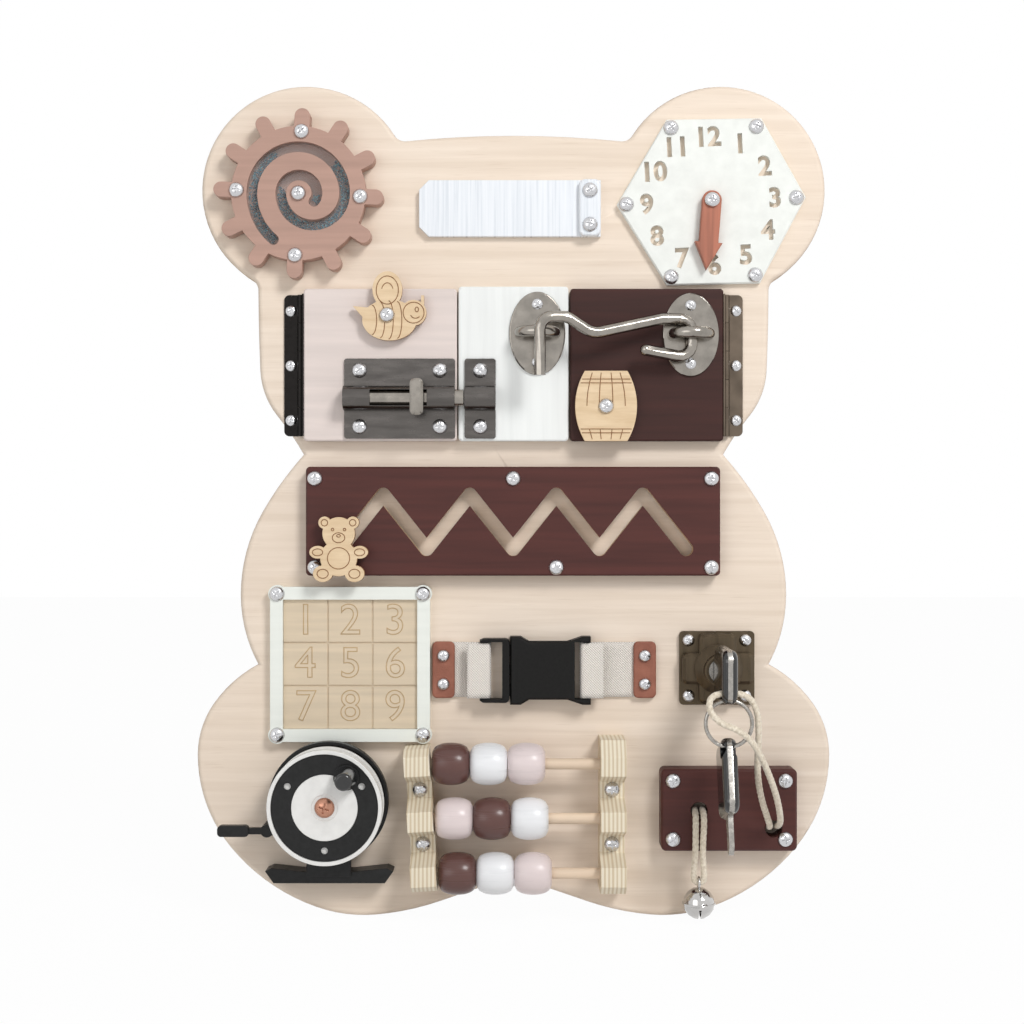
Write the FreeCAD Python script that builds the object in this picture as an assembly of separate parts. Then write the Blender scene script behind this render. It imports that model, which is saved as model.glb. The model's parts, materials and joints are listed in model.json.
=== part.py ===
# Wooden busy board in the outline of a bear, with locks, doors, a clock, a maze,
# a reel, a strap with a buckle and a bead frame screwed to its face.
# All sizes are in millimetres. The board is drawn lying on its back: x runs to
# its right, y up to its ears and z out of its face. Each piece is turned
# upright when it is written, so that the face looks along -Y and the ears
# point to +Z. The back of the board lies in the plane of the origin.
import FreeCAD, Part
import math
import os

V = FreeCAD.Vector
OUT = V(0, 0, 1)

# Board: birch plywood, cut with a router, its front edge rounded over
board_thick = 12.0
board_edge_round = 2.4
ear_x = 98.6
ear_y = 147.4
ear_radius = 49.6
ear_blend = 6.0
crown_top = 173.7
crown_corner = (-70.0, 168.8)
# Each run is a start, a heading in degrees left of straight down, and stops
head_side = ((-121.5, 104.0), 0.0, [(-120.6, 62.0), (-112.3, 40.1), (-99.8, 21.8)])
upper_lobe = ((-99.8, 21.8), 42.0, [(-119.5, -5.5), (-129.9, -45.0), (-121.5, -78.0)])
lower_lobe = ((-121.5, -78.0), 62.0, [(-142.7, -96.7), (-150.4, -121.0), (-134.6, -165.1),
                                      (-93.8, -193.6), (-65.3, -197.2), (-34.9, -190.8),
                                      (0.0, -178.9)])

# Screws: pan head for wood, low head for the hinges
shank_radius = 1.5
pan_radius = 3.6
pan_height = 2.1
low_radius = 2.9
low_height = 1.1
head_crown = 0.62
bite = 9.0
shank_sides = 8
head_sides = 12
running_gap = 0.3
turning_gap = 0.2

# Spiral gear on the left ear
gear_at = (-101.2, 144.4)
gear_radius = 31.6
tooth_count = 12
tooth_tip = 40.0
tooth_width = 7.2
gear_lift = 0.6
gear_turn = -3.0
gear_back_thick = 4.0
gear_front_thick = 4.0
window_thick = 1.2
window_wall = 1.7
channel_width = 5.0
channel_depth = 2.5
channel_aside = 6.6
channel_start_angle = 230.0
# Each turn of the channel is a radius and how far it runs, in degrees, clockwise
channel_arcs = ((28.4, 50.0), (21.8, 180.0), (15.0, 180.0), (8.5, 180.0), (6.0, 40.0))
gear_screw_circle = 29.1

# Mirror plate between the ears, with its clamp bar
mirror_left = -44.7
mirror_bottom = 124.9
mirror_width = 86.0
mirror_height = 26.7
mirror_thick = 3.0
mirror_corner = 4.6
clamp_width = 10.4
clamp_height = 27.0
clamp_thick = 3.0
clamp_screw_span = 16.1

# Clock on the right ear
clock_at = (93.5, 141.4)
clock_outline = [(72.5, 180.3), (117.4, 181.0), (138.4, 143.6), (116.7, 102.9),
                 (72.6, 101.9), (49.0, 140.0)]
clock_thick = 3.0
clock_screw_share = 0.9
hand_reach = 33.0
hand_width = 9.2
hand_head = 13.2
hand_thick = 4.0
hand_lift = 0.8
hand_turn = -4.6

# Doors, middle panel and hinges
panel_half = 25.9
door_gap = 0.8
door_width = 72.3
door_height = 71.8
door_bottom = 28.0
door_thick = 6.0
door_lift = 0.5
door_edge_ease = 0.9
door_corner = 1.6
hinge_length = 67.0
hinge_knuckles = 5
knuckle_radius = 1.6
knuckle_gap = 0.2
leaf_thick = 0.8
leaf_width = 8.0
leaf_corner = 2.5
pin_radius = 0.8
pin_gap = 0.1
hinge_screw_span = 26.0

# Bee and barrel tags that swivel on a screw
tag_thick = 3.0
tag_lift = 1.6
washer_radius = 4.2
bee_screw = (-59.3, 86.9)
bee_body = (12.8, 9.6)
bee_wing = (7.0, 8.6)
barrel_screw = (43.4, 44.2)
barrel_width = 29.0
barrel_height = 33.0
barrel_end_width = 20.0

# Barrel bolt on the left door and its keeper on the middle panel
bolt_y = 47.9
bolt_left = -79.7
bolt_length = 52.2
bolt_plate_height = 37.6
bolt_plate_thick = 1.2
bolt_radius = 4.0
bolt_gap = 0.3
bolt_wall = 1.4
bolt_screw_inset = 7.2
bolt_screw_drop = 5.6
bolt_slot_start = 12.7
bolt_slot_length = 26.6
bolt_slot_width = 7.4
bolt_stem_radius = 2.6
bolt_knob_width = 6.2
bolt_knob_length = 17.0
bolt_knob_rise = 5.4
bolt_knob_at = -44.9
keeper_width = 14.6
keeper_space = 4.5
bolt_short_of_keeper = 0.4

# Hook with its two eye plates
wire_radius = 2.7
wire_sides = 8
plate_half_width = 13.2
plate_half_height = 19.6
eye_plate_thick = 1.5
eye_screw_rise = 13.7
eye_bow_radius = 8.2
eye_leg = 3.0
left_eye = (11.2, 78.6)
right_eye = (83.4, 78.0)
hook_stand_off = 5.1
hook_pin_low = 57.5
hook_top = 84.6
hook_dip = (36.0, 77.1)
hook_curl_bottom = 66.2
hook_tip = (61.2, 69.9)
hook_bend = 6.0

# Maze plate with its zigzag groove and the bear that slides in it
maze_left = -97.7
maze_bottom = -35.5
maze_width = 195.0
maze_height = 51.3
maze_thick = 8.0
maze_corner = 2.0
groove_width = 6.6
groove_back_width = 12.0
groove_back_depth = 3.2
groove_first = (-81.6, -22.9)
groove_step = 20.35
groove_rise = 25.6
groove_legs = 8
slider_gap = 0.35
slider_lift = 2.6
slider_collar = 5.0
slider_thick = 4.0
slider_head = (7.4, 7.6)
slider_body = (-4.2, 8.6, 8.4)
slider_ear = (6.6, 12.4, 2.9)
slider_arm = (9.8, -1.4, 3.9, 3.0)
slider_foot = (7.4, -11.4, 4.6, 3.9)

# Number panel and its frame
numbers_at = (-77.2, -77.5)
frame_width = 75.5
frame_height = 73.2
frame_bar = 6.0
frame_thick = 5.0
frame_lobe = 4.2
number_thick = 3.0
number_line = 0.8

# Strap with its side-release buckle
strap_y = -80.2
strap_width = 26.0
strap_thick = 1.4
strap_gap = 0.3
tab_width = 10.7
tab_height = 26.8
tab_thick = 2.0
tab_from_frame = 0.95
left_tab = numbers_at[0] + frame_width / 2 + tab_from_frame
right_tab = 56.8
tab_screw_span = 13.4
buckle_thick = 8.4
buckle_lift = 0.5
male_left = -15.9
male_width = 14.0
male_height = 30.0
male_bar = 3.8
prong_length = 21.0
prong_width = 5.2
prong_thick = 4.0
prong_barb = 1.2
prong_clear = 1.0
female_length = 38.0
female_height = 32.0
female_wall = 1.8
female_bar = 3.6

# Cylinder lock, keys and key ring
lock_at = (96.4, -79.4)
lock_width = 35.6
lock_height = 34.9
lock_plate_thick = 2.0
lock_cross_rise = 6.0
lock_upright_width = 17.6
lock_level_width = 14.6
lock_cone_radius = 11.4
lock_cone_rise = 5.0
lock_cross_corner = 2.5
lock_cross_ease = 1.6
lock_screw_inset = 4.3
lock_floor = 0.6
barrel_face = 18.0
lock_barrel_radius = 7.6
plug_radius = 5.6
plug_gap = 0.15
key_blade_thick = 2.3
key_blade_height = 7.4
key_blade_length = 17.0
key_head_thick = 7.1
key_head_width = 24.5
key_head_length = 34.0
key_hole_inset = 6.2
key_hole_aside = 8.5
key_hole_radius = 3.6
key_head_round = 2.8
key_gap = 0.2
key_two_lean = 21.0
ring_radius = 10.4
ring_wire = 0.9
ring_hang = 1.9

# Bell plate, bell and cords
bell_plate_left = 69.2
bell_plate_bottom = -164.5
bell_plate_width = 63.8
bell_plate_height = 38.5
bell_plate_thick = 11.0
bell_plate_corner = 2.5
bell_screw_inset = 5.6
cord_radius = 1.5
cord_hole_radius = 4.0
bell_hole = (87.0, -145.4)
tether_hole = (122.0, -154.0)
bell_radius = 7.4
bell_at = (86.6, -188.2)
bell_loop_radius = 2.6
bell_loop_wire = 0.6
bell_loop_rise = 1.9
bell_stand_off = 13.0
bell_slot = 1.2
bell_wall = 0.8
bell_seam = 0.4
bell_bands = 8

# Reel
reel_at = (-86.4, -140.7)
spool_radius = 26.4
spool_front = 32.0
spool_depth = 14.0
spool_face_inner = 15.2
spool_face_outer = 24.6
spool_dish = 2.2
spool_hole_circle = 19.6
reel_back_radius = 28.0
reel_back_thick = 3.0
reel_back_front = 15.0
reel_rim = 2.0
reel_stem_width = 20.7
reel_foot_width = 60.2
reel_foot_height = 7.0
reel_foot_y = -176.0
reel_foot_rise = 11.0
reel_screw_radius = 4.7
knob_at = (-76.2, -126.4)
knob_base = 5.2
knob_tip = 3.9
knob_height = 13.0
knob_boss_height = 2.4
lever_pivot = (-115.0, -154.2)
lever_reach = 23.0
lever_width = 5.2

# Bead frame
post_width = 11.9
left_post_low = -181.6
post_from_frame = 1.5
left_post_height = numbers_at[1] - frame_height / 2 - post_from_frame - left_post_low
right_post_height = 71.4
post_rise = 25.0
post_valley = 10.5
post_bump = 9.0
left_post = (-43.2, left_post_low + left_post_height / 2)
left_post_lean = 3.4
right_post = (46.2, -147.0)
rod_y = (-122.9, -148.4, -173.9)
rod_radius = 2.6
rod_rise = 15.0
rod_overhang = 4.0
bead_radius = 10.0
bead_length = 17.4
bead_end_radius = 5.6
bead_bore = 3.1
bead_bands = 5
bead_spacing = 17.6
bead_from_post = 0.3

face = board_thick


def box(x0, y0, x1, y1, z0, z1):
    return Part.makeBox(x1 - x0, y1 - y0, z1 - z0, V(x0, y0, z0))


def disc(x, y, radius, z0, z1):
    return Part.makeCylinder(radius, z1 - z0, V(x, y, z0))


def prism(points, z0, z1):
    corners = [V(x, y, z0) for x, y in points]
    outline = Part.makePolygon(corners + corners[:1])
    return Part.Face(outline).extrude(V(0, 0, z1 - z0))


def profile_along_x(points, x0, x1):
    corners = [V(x0, y, z) for y, z in points]
    return Part.Face(Part.makePolygon(corners + corners[:1])).extrude(V(x1 - x0, 0, 0))


def profile_along_y(points, y0, y1):
    corners = [V(x, y0, z) for x, z in points]
    return Part.Face(Part.makePolygon(corners + corners[:1])).extrude(V(0, y1 - y0, 0))


def oval(x, y, half_x, half_y, z0, z1):
    if half_x >= half_y:
        curve = Part.Ellipse(V(x + half_x, y, z0), V(x, y + half_y, z0), V(x, y, z0))
    else:
        curve = Part.Ellipse(V(x, y + half_y, z0), V(x - half_x, y, z0), V(x, y, z0))
    return Part.Face(Part.Wire(curve.toShape())).extrude(V(0, 0, z1 - z0))


def upright_edges(solid):
    edges = []
    for edge in solid.Edges:
        ends = [v.Point for v in edge.Vertexes]
        if len(ends) == 2 and (ends[1] - ends[0]).cross(OUT).Length < 1e-4:
            edges.append(edge)
    return edges


def level_edges(solid, z):
    return [e for e in solid.Edges if abs(e.BoundBox.ZMin - z) < 1e-4 and abs(e.BoundBox.ZMax - z) < 1e-4]


def rounded(x0, y0, x1, y1, z0, z1, radius):
    block = box(x0, y0, x1, y1, z0, z1)
    return block.makeFillet(radius, upright_edges(block))


def eased(solid, z, size):
    return solid.makeChamfer(size, level_edges(solid, z))


def fused(solids):
    whole = solids[0]
    if len(solids) > 1:
        whole = whole.fuse(solids[1:])
    return whole.removeSplitter()


def turned(profile, centre):
    # Profile points are (radius, z), turned once round a line out of the face
    corners = [V(centre[0] + r, centre[1], z) for r, z in profile]
    outline = Part.Face(Part.makePolygon(corners + corners[:1]))
    return outline.revolve(V(centre[0], centre[1], 0), OUT, 360)


def mirrored(solid):
    return solid.mirror(V(0, 0, 0), V(1, 0, 0))


def write(node, shape):
    upright = shape.copy()
    upright.rotate(V(0, 0, 0), V(1, 0, 0), 90)
    upright.exportStep("parts/" + node + ".step")


# Screws are gathered by the piece that they are driven into
driven = {"board_screws": [], "left_door_screws": [], "right_door_screws": [], "gear_screws": []}


def ring_of(x, y, z, radius, sides):
    # An even polygon, for small round pieces of which the board has many
    spots = []
    for i in range(sides):
        a = 2 * math.pi * i / sides
        spots.append(V(x + radius * math.cos(a), y + radius * math.sin(a), z))
    return Part.makePolygon(spots + spots[:1])


def shank(x, y, z0, z1):
    return Part.Face(ring_of(x, y, z0, shank_radius, shank_sides)).extrude(V(0, 0, z1 - z0))


def drive(group, x, y, seat, reach, head_radius=pan_radius, head_height=pan_height):
    foot = ring_of(x, y, seat, head_radius, head_sides)
    crown = ring_of(x, y, seat + head_height, head_crown * head_radius, head_sides)
    head = Part.makeLoft([foot, crown], True, True)
    stem = shank(x, y, seat - reach, seat)
    driven[group].append((head.fuse(stem).removeSplitter(), stem))


def drilled(solid, group):
    limits = solid.BoundBox
    stems = [stem for _, stem in driven[group] if stem.BoundBox.intersect(limits)]
    return solid.cut(stems) if stems else solid


def smooth_run(start, heading, stops):
    # Arcs that follow one another smoothly; heading is degrees left of down
    arcs = []
    here = V(start[0], start[1], 0)
    way = V(-math.sin(math.radians(heading)), -math.cos(math.radians(heading)), 0)
    for x, y in stops:
        there = V(x, y, 0)
        chord = there - here
        turn = math.atan2(way.cross(chord).z, way.dot(chord))
        aside = V(chord.y, -chord.x, 0)
        middle = here + chord * 0.5 + aside * (0.5 * math.tan(turn / 2))
        arcs.append((here, middle, there))
        way = FreeCAD.Rotation(OUT, math.degrees(turn)).multVec(chord).normalize()
        here = there
    return arcs


def make_board():
    left = []
    for start, heading, stops in (head_side, upper_lobe, lower_lobe):
        left += smooth_run(start, heading, stops)
    corner = V(crown_corner[0], crown_corner[1], 0)
    top = V(0, crown_top, 0)
    flip = lambda p: V(-p.x, p.y, 0)
    edges = [Part.Arc(flip(corner), top, corner).toShape()]
    edges.append(Part.LineSegment(corner, left[0][0]).toShape())
    edges += [Part.Arc(a, m, b).toShape() for a, m, b in left]
    edges += [Part.Arc(flip(b), flip(m), flip(a)).toShape() for a, m, b in reversed(left)]
    edges.append(Part.LineSegment(flip(left[0][0]), flip(corner)).toShape())
    torso = Part.Face(Part.Wire(edges)).extrude(V(0, 0, board_thick))
    ear = disc(-ear_x, ear_y, ear_radius, 0, board_thick)
    board = fused([torso, ear, mirrored(ear)])
    joins = []
    for edge in upright_edges(board):
        spot = edge.Vertexes[0].Point
        reach = math.hypot(abs(spot.x) - ear_x, spot.y - ear_y)
        if abs(reach - ear_radius) < 0.05:
            joins.append(edge)
    board = board.makeFillet(ear_blend, joins)
    return board.makeFillet(board_edge_round, level_edges(board, face))


def spiral(width, z0, z1):
    # Arcs that run clockwise and inwards, each starting where the last one ended
    angle = channel_start_angle
    centre = V(gear_at[0] + channel_aside, gear_at[1], 0)
    solids = []
    before = channel_arcs[0][0]
    for radius, sweep in channel_arcs:
        a = math.radians(angle)
        centre = centre + V(math.cos(a), math.sin(a), 0) * (before - radius)
        ring = Part.makeCylinder(radius + width / 2, z1 - z0, V(0, 0, 0), OUT, sweep)
        ring = ring.cut(Part.makeCylinder(radius - width / 2, z1 - z0))
        ring.rotate(V(0, 0, 0), OUT, angle - sweep)
        ring.translate(centre + V(0, 0, z0))
        solids.append(ring)
        for end in (angle, angle - sweep):
            a = math.radians(end)
            spot = centre + V(math.cos(a), math.sin(a), 0) * radius
            solids.append(disc(spot.x, spot.y, width / 2, z0, z1))
        angle -= sweep
        before = radius
    return fused(solids)


def gear_blank(z0, z1):
    pieces = [disc(gear_at[0], gear_at[1], gear_radius, z0, z1)]
    for i in range(tooth_count):
        tip = tooth_tip - tooth_width / 2
        tooth = box(0, -tooth_width / 2, tip, tooth_width / 2, z0, z1)
        tooth = tooth.fuse(disc(tip, 0, tooth_width / 2, z0, z1))
        tooth.rotate(V(0, 0, 0), OUT, gear_turn + 360.0 * i / tooth_count)
        tooth.translate(V(gear_at[0], gear_at[1], 0))
        pieces.append(tooth)
    return fused(pieces)


def make_gear():
    x, y = gear_at
    z0 = face + gear_lift
    z1 = z0 + gear_back_thick
    z2 = z1 + gear_front_thick
    for i in range(4):
        a = math.radians(gear_turn + 90.0 * i)
        reach = gear_back_thick + gear_front_thick - 0.5
        drive("gear_screws", x + gear_screw_circle * math.cos(a),
              y + gear_screw_circle * math.sin(a), z2, reach)
    drive("board_screws", x, y, z2 + running_gap, z2 + running_gap - face + bite)
    arbor = disc(x, y, shank_radius + turning_gap, z0 - 1, z2 + 1)
    back = gear_blank(z0, z1).cut(arbor)
    back = back.cut(spiral(channel_width, z1 - channel_depth, z1))
    window_radius = gear_radius - window_wall
    recess = disc(x, y, window_radius, z1, z1 + window_thick)
    front = gear_blank(z1, z2).cut(recess).cut(arbor)
    front = front.cut(spiral(channel_width, z1, z2))
    window = disc(x, y, window_radius, z1, z1 + window_thick).cut(arbor)
    write("gear_back", drilled(back, "gear_screws"))
    write("gear_front", drilled(front, "gear_screws"))
    write("gear_window", drilled(window, "gear_screws"))


def make_mirror():
    x1 = mirror_left + mirror_width
    y1 = mirror_bottom + mirror_height
    top = face + mirror_thick
    c = mirror_corner
    plate = prism([(mirror_left + c, mirror_bottom), (x1, mirror_bottom), (x1, y1),
                   (mirror_left + c, y1), (mirror_left, y1 - c), (mirror_left, mirror_bottom + c)],
                  face, top)
    middle = mirror_bottom + mirror_height / 2
    bar = rounded(x1 - clamp_width, middle - clamp_height / 2, x1, middle + clamp_height / 2,
                  top, top + clamp_thick, 3.0)
    bar = eased(bar, top + clamp_thick, 0.8)
    for side in (-0.5, 0.5):
        drive("board_screws", x1 - clamp_width / 2, middle + side * clamp_screw_span,
              top + clamp_thick, mirror_thick + clamp_thick + bite)
    write("mirror_plate", drilled(plate, "board_screws"))
    write("mirror_clamp", drilled(bar, "board_screws"))


def make_clock():
    x, y = clock_at
    top = face + clock_thick
    for cx, cy in clock_outline:
        sx = x + (cx - x) * clock_screw_share
        sy = y + (cy - y) * clock_screw_share
        drive("board_screws", sx, sy, top, clock_thick + bite)
    hand_top = top + hand_lift + hand_thick
    drive("board_screws", x, y, hand_top + running_gap, hand_top + running_gap - face + bite)
    plate = eased(prism(clock_outline, face, top), top, 0.6)
    write("clock_face", drilled(plate, "board_screws"))
    low = top + hand_lift
    neck = hand_reach - hand_head
    shaft = box(-hand_width / 2, -neck, hand_width / 2, 0, low, hand_top)
    head = prism([(-hand_head / 2, -neck), (hand_head / 2, -neck), (0, -hand_reach)], low, hand_top)
    boss = disc(0, 0, washer_radius, top + turning_gap, low)
    hand = fused([shaft, head, disc(0, 0, hand_width / 2, low, hand_top), boss])
    hand.rotate(V(0, 0, 0), OUT, hand_turn)
    hand.translate(V(x, y, 0))
    hand = hand.cut(disc(x, y, shank_radius + turning_gap, top, hand_top + 1))
    write("clock_hand", eased(hand, hand_top, 0.5))


door_inner = panel_half + door_gap
door_outer = door_inner + door_width
door_top = door_bottom + door_height
door_back = face + door_lift
door_face = door_back + door_thick
hinge_x = door_outer + knuckle_radius + knuckle_gap
hinge_z = face + knuckle_radius + 0.15
hinge_middle = (door_bottom + door_top) / 2
hinge_low = hinge_middle - hinge_length / 2


def knuckle(index, radius, spare):
    # One barrel of the left hinge
    step = hinge_length / hinge_knuckles
    y0 = hinge_low + index * step - spare
    return Part.makeCylinder(radius, step + 2 * spare, V(-hinge_x, y0, hinge_z), V(0, 1, 0))


def make_hinges():
    leaf = rounded(-hinge_x - leaf_width, hinge_low, -hinge_x + 4, hinge_low + hinge_length,
                   face, face + leaf_thick, leaf_corner)
    leaf = leaf.cut(box(-hinge_x, hinge_low, -hinge_x + 5, hinge_low + hinge_length, face, door_face))
    flap = box(-door_outer - leaf_thick, hinge_low, -door_outer, hinge_low + hinge_length,
               door_back, door_face)
    step = hinge_length / hinge_knuckles
    for i in range(hinge_knuckles):
        y0 = hinge_low + i * step
        barrel = knuckle(i, knuckle_radius, -knuckle_gap / 2)
        clear = box(-hinge_x - knuckle_radius - knuckle_gap, y0 - knuckle_gap / 2, -door_outer,
                    y0 + step + knuckle_gap / 2, face, hinge_z + knuckle_radius + knuckle_gap)
        if i % 2:
            leaf = leaf.cut(clear)
            flap = flap.fuse(barrel)
        else:
            flap = flap.cut(clear)
            leaf = leaf.fuse(barrel)
    bore = Part.makeCylinder(pin_radius + pin_gap, hinge_length + 2, V(-hinge_x, hinge_low - 1, hinge_z),
                             V(0, 1, 0))
    pin = Part.makeCylinder(pin_radius, hinge_length, V(-hinge_x, hinge_low, hinge_z), V(0, 1, 0))
    screw_x = hinge_x + knuckle_radius + (leaf_width - knuckle_radius) / 2
    for side in (-1, 1):
        for row in (-1, 0, 1):
            drive("board_screws", side * screw_x, hinge_middle + row * hinge_screw_span,
                  face + leaf_thick, leaf_thick + bite, low_radius, low_height)
    leaf = leaf.cut(bore).removeSplitter()
    flap = flap.cut(bore).removeSplitter()
    leaves = [drilled(half, "board_screws") for half in (leaf, mirrored(leaf))]
    write("board_hinges", Part.makeCompound(leaves + [pin, mirrored(pin)]))
    write("left_door_leaf", flap)
    write("right_door_leaf", mirrored(flap))


def make_doors():
    door = rounded(-door_outer, door_bottom, -door_inner, door_top, door_back, door_face, door_corner)
    door = eased(door, door_face, door_edge_ease)
    write("left_door", drilled(door, "left_door_screws"))
    write("right_door", drilled(mirrored(door), "right_door_screws"))
    panel = rounded(-panel_half, door_bottom, panel_half, door_top + 1.0, face, door_face, door_corner)
    write("middle_panel", drilled(eased(panel, door_face, door_edge_ease), "board_screws"))


tag_low = door_face + tag_lift
tag_top = tag_low + tag_thick


def swivel(blank, spot, group):
    # A flat tag with a washer under it, loose on its screw
    seat = disc(spot[0], spot[1], washer_radius, door_face + turning_gap, tag_low)
    hole = disc(spot[0], spot[1], shank_radius + turning_gap, door_face, tag_top + 1)
    drive(group, spot[0], spot[1], tag_top + running_gap, tag_top + running_gap - door_back - 0.5)
    return fused([blank, seat]).cut(hole)


def make_bee():
    x, y = bee_screw
    half_long, half_high = bee_body
    body = oval(0, 0, half_long, half_high, tag_low, tag_top)
    head = disc(half_long - 1.5, 3.4, 6.0, tag_low, tag_top)
    tail = prism([(-half_long + 6, 5.5), (-half_long + 4.5, -3.5), (-half_long - 4.4, 6.5)],
                 tag_low, tag_top)
    wing = oval(-1.0, half_high + 4.6, bee_wing[0], bee_wing[1], tag_low, tag_top)
    feelers = box(half_long + 2.0, 7.0, half_long + 3.4, 11.5, tag_low, tag_top)
    blank = fused([body, head, tail, wing, feelers])
    blank.translate(V(x + 1.2, y - 2.4, 0))
    write("bee_tag", swivel(blank, bee_screw, "left_door_screws"))


def make_barrel_tag():
    x, y = barrel_screw
    w = barrel_width / 2
    e = barrel_end_width / 2
    h = barrel_height / 2
    left = Part.Arc(V(-e, h, tag_low), V(-w, 0, tag_low), V(-e, -h, tag_low)).toShape()
    low = Part.LineSegment(V(-e, -h, tag_low), V(e, -h, tag_low)).toShape()
    right = Part.Arc(V(e, -h, tag_low), V(w, 0, tag_low), V(e, h, tag_low)).toShape()
    top = Part.LineSegment(V(e, h, tag_low), V(-e, h, tag_low)).toShape()
    blank = Part.Face(Part.Wire([left, low, right, top])).extrude(V(0, 0, tag_thick))
    blank.translate(V(x, y, 0))
    write("barrel_tag", swivel(blank, barrel_screw, "right_door_screws"))


bolt_z = door_face + bolt_plate_thick + bolt_radius + bolt_gap
bolt_right = bolt_left + bolt_length
keeper_left = bolt_right + keeper_space
keeper_right = keeper_left + keeper_width


def tunnel(x0, x1):
    # A flat plate with a raised half round cover over the bolt
    outer = bolt_radius + bolt_gap + bolt_wall
    half = bolt_plate_height / 2
    base = door_face + bolt_plate_thick
    plate = rounded(x0, bolt_y - half, x1, bolt_y + half, door_face, base, 1.2)
    arch = Part.makeCylinder(outer, x1 - x0, V(x0, bolt_y, bolt_z), V(1, 0, 0))
    sides = box(x0, bolt_y - outer, x1, bolt_y + outer, door_face, bolt_z)
    cover = arch.fuse(sides).common(box(x0, bolt_y - half, x1, bolt_y + half, door_face, bolt_z + outer))
    inner = bolt_radius + bolt_gap
    bore = Part.makeCylinder(inner, x1 - x0, V(x0, bolt_y, bolt_z), V(1, 0, 0))
    return plate.fuse(cover).cut(bore).removeSplitter()


def make_bolt():
    base = door_face + bolt_plate_thick
    rise = bolt_plate_height / 2 - bolt_screw_drop
    for x in (bolt_left + bolt_screw_inset, bolt_right - bolt_screw_inset):
        for side in (-1, 1):
            drive("left_door_screws", x, bolt_y + side * rise, base, bolt_plate_thick + door_thick - 0.5)
    for side in (-1, 1):
        drive("board_screws", keeper_left + keeper_width / 2, bolt_y + side * rise, base,
              bolt_plate_thick + door_thick + bite)
    slot_start = bolt_left + bolt_slot_start
    slot = box(slot_start, bolt_y - bolt_slot_width / 2, slot_start + bolt_slot_length,
               bolt_y + bolt_slot_width / 2, bolt_z, bolt_z + 10)
    write("bolt_housing", drilled(tunnel(bolt_left, bolt_right).cut(slot), "left_door_screws"))
    write("bolt_keeper", drilled(tunnel(keeper_left, keeper_right), "board_screws"))
    tip = keeper_left - bolt_short_of_keeper
    start = bolt_left + 2.0
    rod = Part.makeCylinder(bolt_radius, tip - start, V(start, bolt_y, bolt_z), V(1, 0, 0))
    top = bolt_z + bolt_radius + bolt_gap + bolt_wall
    stem = disc(bolt_knob_at, bolt_y, bolt_stem_radius, bolt_z, top + 1.0)
    knob = rounded(bolt_knob_at - bolt_knob_width / 2, bolt_y - bolt_knob_length / 2,
                   bolt_knob_at + bolt_knob_width / 2, bolt_y + bolt_knob_length / 2,
                   top + 0.4, top + bolt_knob_rise, 2.4)
    knob = eased(knob, top + bolt_knob_rise, 1.0)
    write("bolt_rod", fused([rod, stem, knob]))


eye_plate_top = door_face + eye_plate_thick


def eye_plate(centre, group, reach):
    x, y = centre
    plate = oval(x, y, plate_half_width, plate_half_height, door_face, eye_plate_top)
    plate = eased(plate, eye_plate_top, 0.6)
    bow = Part.makeTorus(eye_bow_radius, wire_radius, V(x, y, eye_plate_top + eye_leg), V(0, 1, 0))
    reach_out = eye_bow_radius + wire_radius + 1
    front = box(x - reach_out, y - wire_radius - 1, x + reach_out, y + wire_radius + 1,
                eye_plate_top + eye_leg, eye_plate_top + eye_leg + reach_out)
    legs = [disc(x + side * eye_bow_radius, y, wire_radius, door_face, eye_plate_top + eye_leg)
            for side in (-1, 1)]
    for side in (-1, 1):
        drive(group, x, y + side * eye_screw_rise, eye_plate_top, reach, low_radius, low_height)
    whole = fused([plate, bow.common(front)] + legs)
    return drilled(whole, group)


def bent_wire(points, bends, radius):
    # Straight runs joined by arcs; bends gives the arc radius at each inner point
    edges = []
    here = points[0]
    for before, corner, after, bend in zip(points, points[1:], points[2:], bends):
        back = (before - corner).normalize()
        on = (after - corner).normalize()
        half = back.getAngle(on) / 2
        start = corner + back * (bend / math.tan(half))
        end = corner + on * (bend / math.tan(half))
        middle = (back + on).normalize()
        crown = corner + middle * (bend / math.sin(half) - bend)
        edges.append(Part.LineSegment(here, start).toShape())
        edges.append(Part.Arc(start, crown, end).toShape())
        here = end
    edges.append(Part.LineSegment(here, points[-1]).toShape())
    path = Part.Wire(edges)
    first = (points[1] - points[0]).normalize()
    ring = ring_of(0, 0, 0, radius, wire_sides)
    ring.Placement = FreeCAD.Placement(points[0], FreeCAD.Rotation(OUT, first))
    return path.makePipeShell([ring], True, False)


hook_z = eye_plate_top + hook_stand_off
hook_arm = right_eye[0] - left_eye[0]
hook_clear = eye_plate_top + eye_leg + eye_bow_radius + 2 * wire_radius + running_gap - hook_z
hook_rest_angle = math.degrees(math.asin(hook_clear / hook_arm))


def make_hook():
    write("panel_eye_plate", eye_plate(left_eye, "board_screws", eye_plate_thick + door_thick + bite))
    write("door_eye_plate", eye_plate(right_eye, "right_door_screws", eye_plate_thick + door_thick - 0.5))
    x0 = left_eye[0]
    x1 = right_eye[0]
    route = [(x0, hook_pin_low), (x0, hook_top), (x0 + 13.0, hook_top), hook_dip,
             (x1 - 14.0, hook_top), (x1, hook_top), (x1, hook_curl_bottom), hook_tip]
    bends = [hook_bend, hook_bend, 10.0, 8.0, hook_bend, hook_bend]
    wire = bent_wire([V(x, y, hook_z) for x, y in route], bends, wire_radius)
    hook = wire.fuse(Part.makeSphere(wire_radius, V(x0, hook_pin_low, hook_z)))
    hook = hook.fuse(Part.makeSphere(wire_radius, V(hook_tip[0], hook_tip[1], hook_z)))
    hook.rotate(V(x1, 0, hook_z), V(0, 1, 0), hook_rest_angle)
    write("hook", hook)


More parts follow.
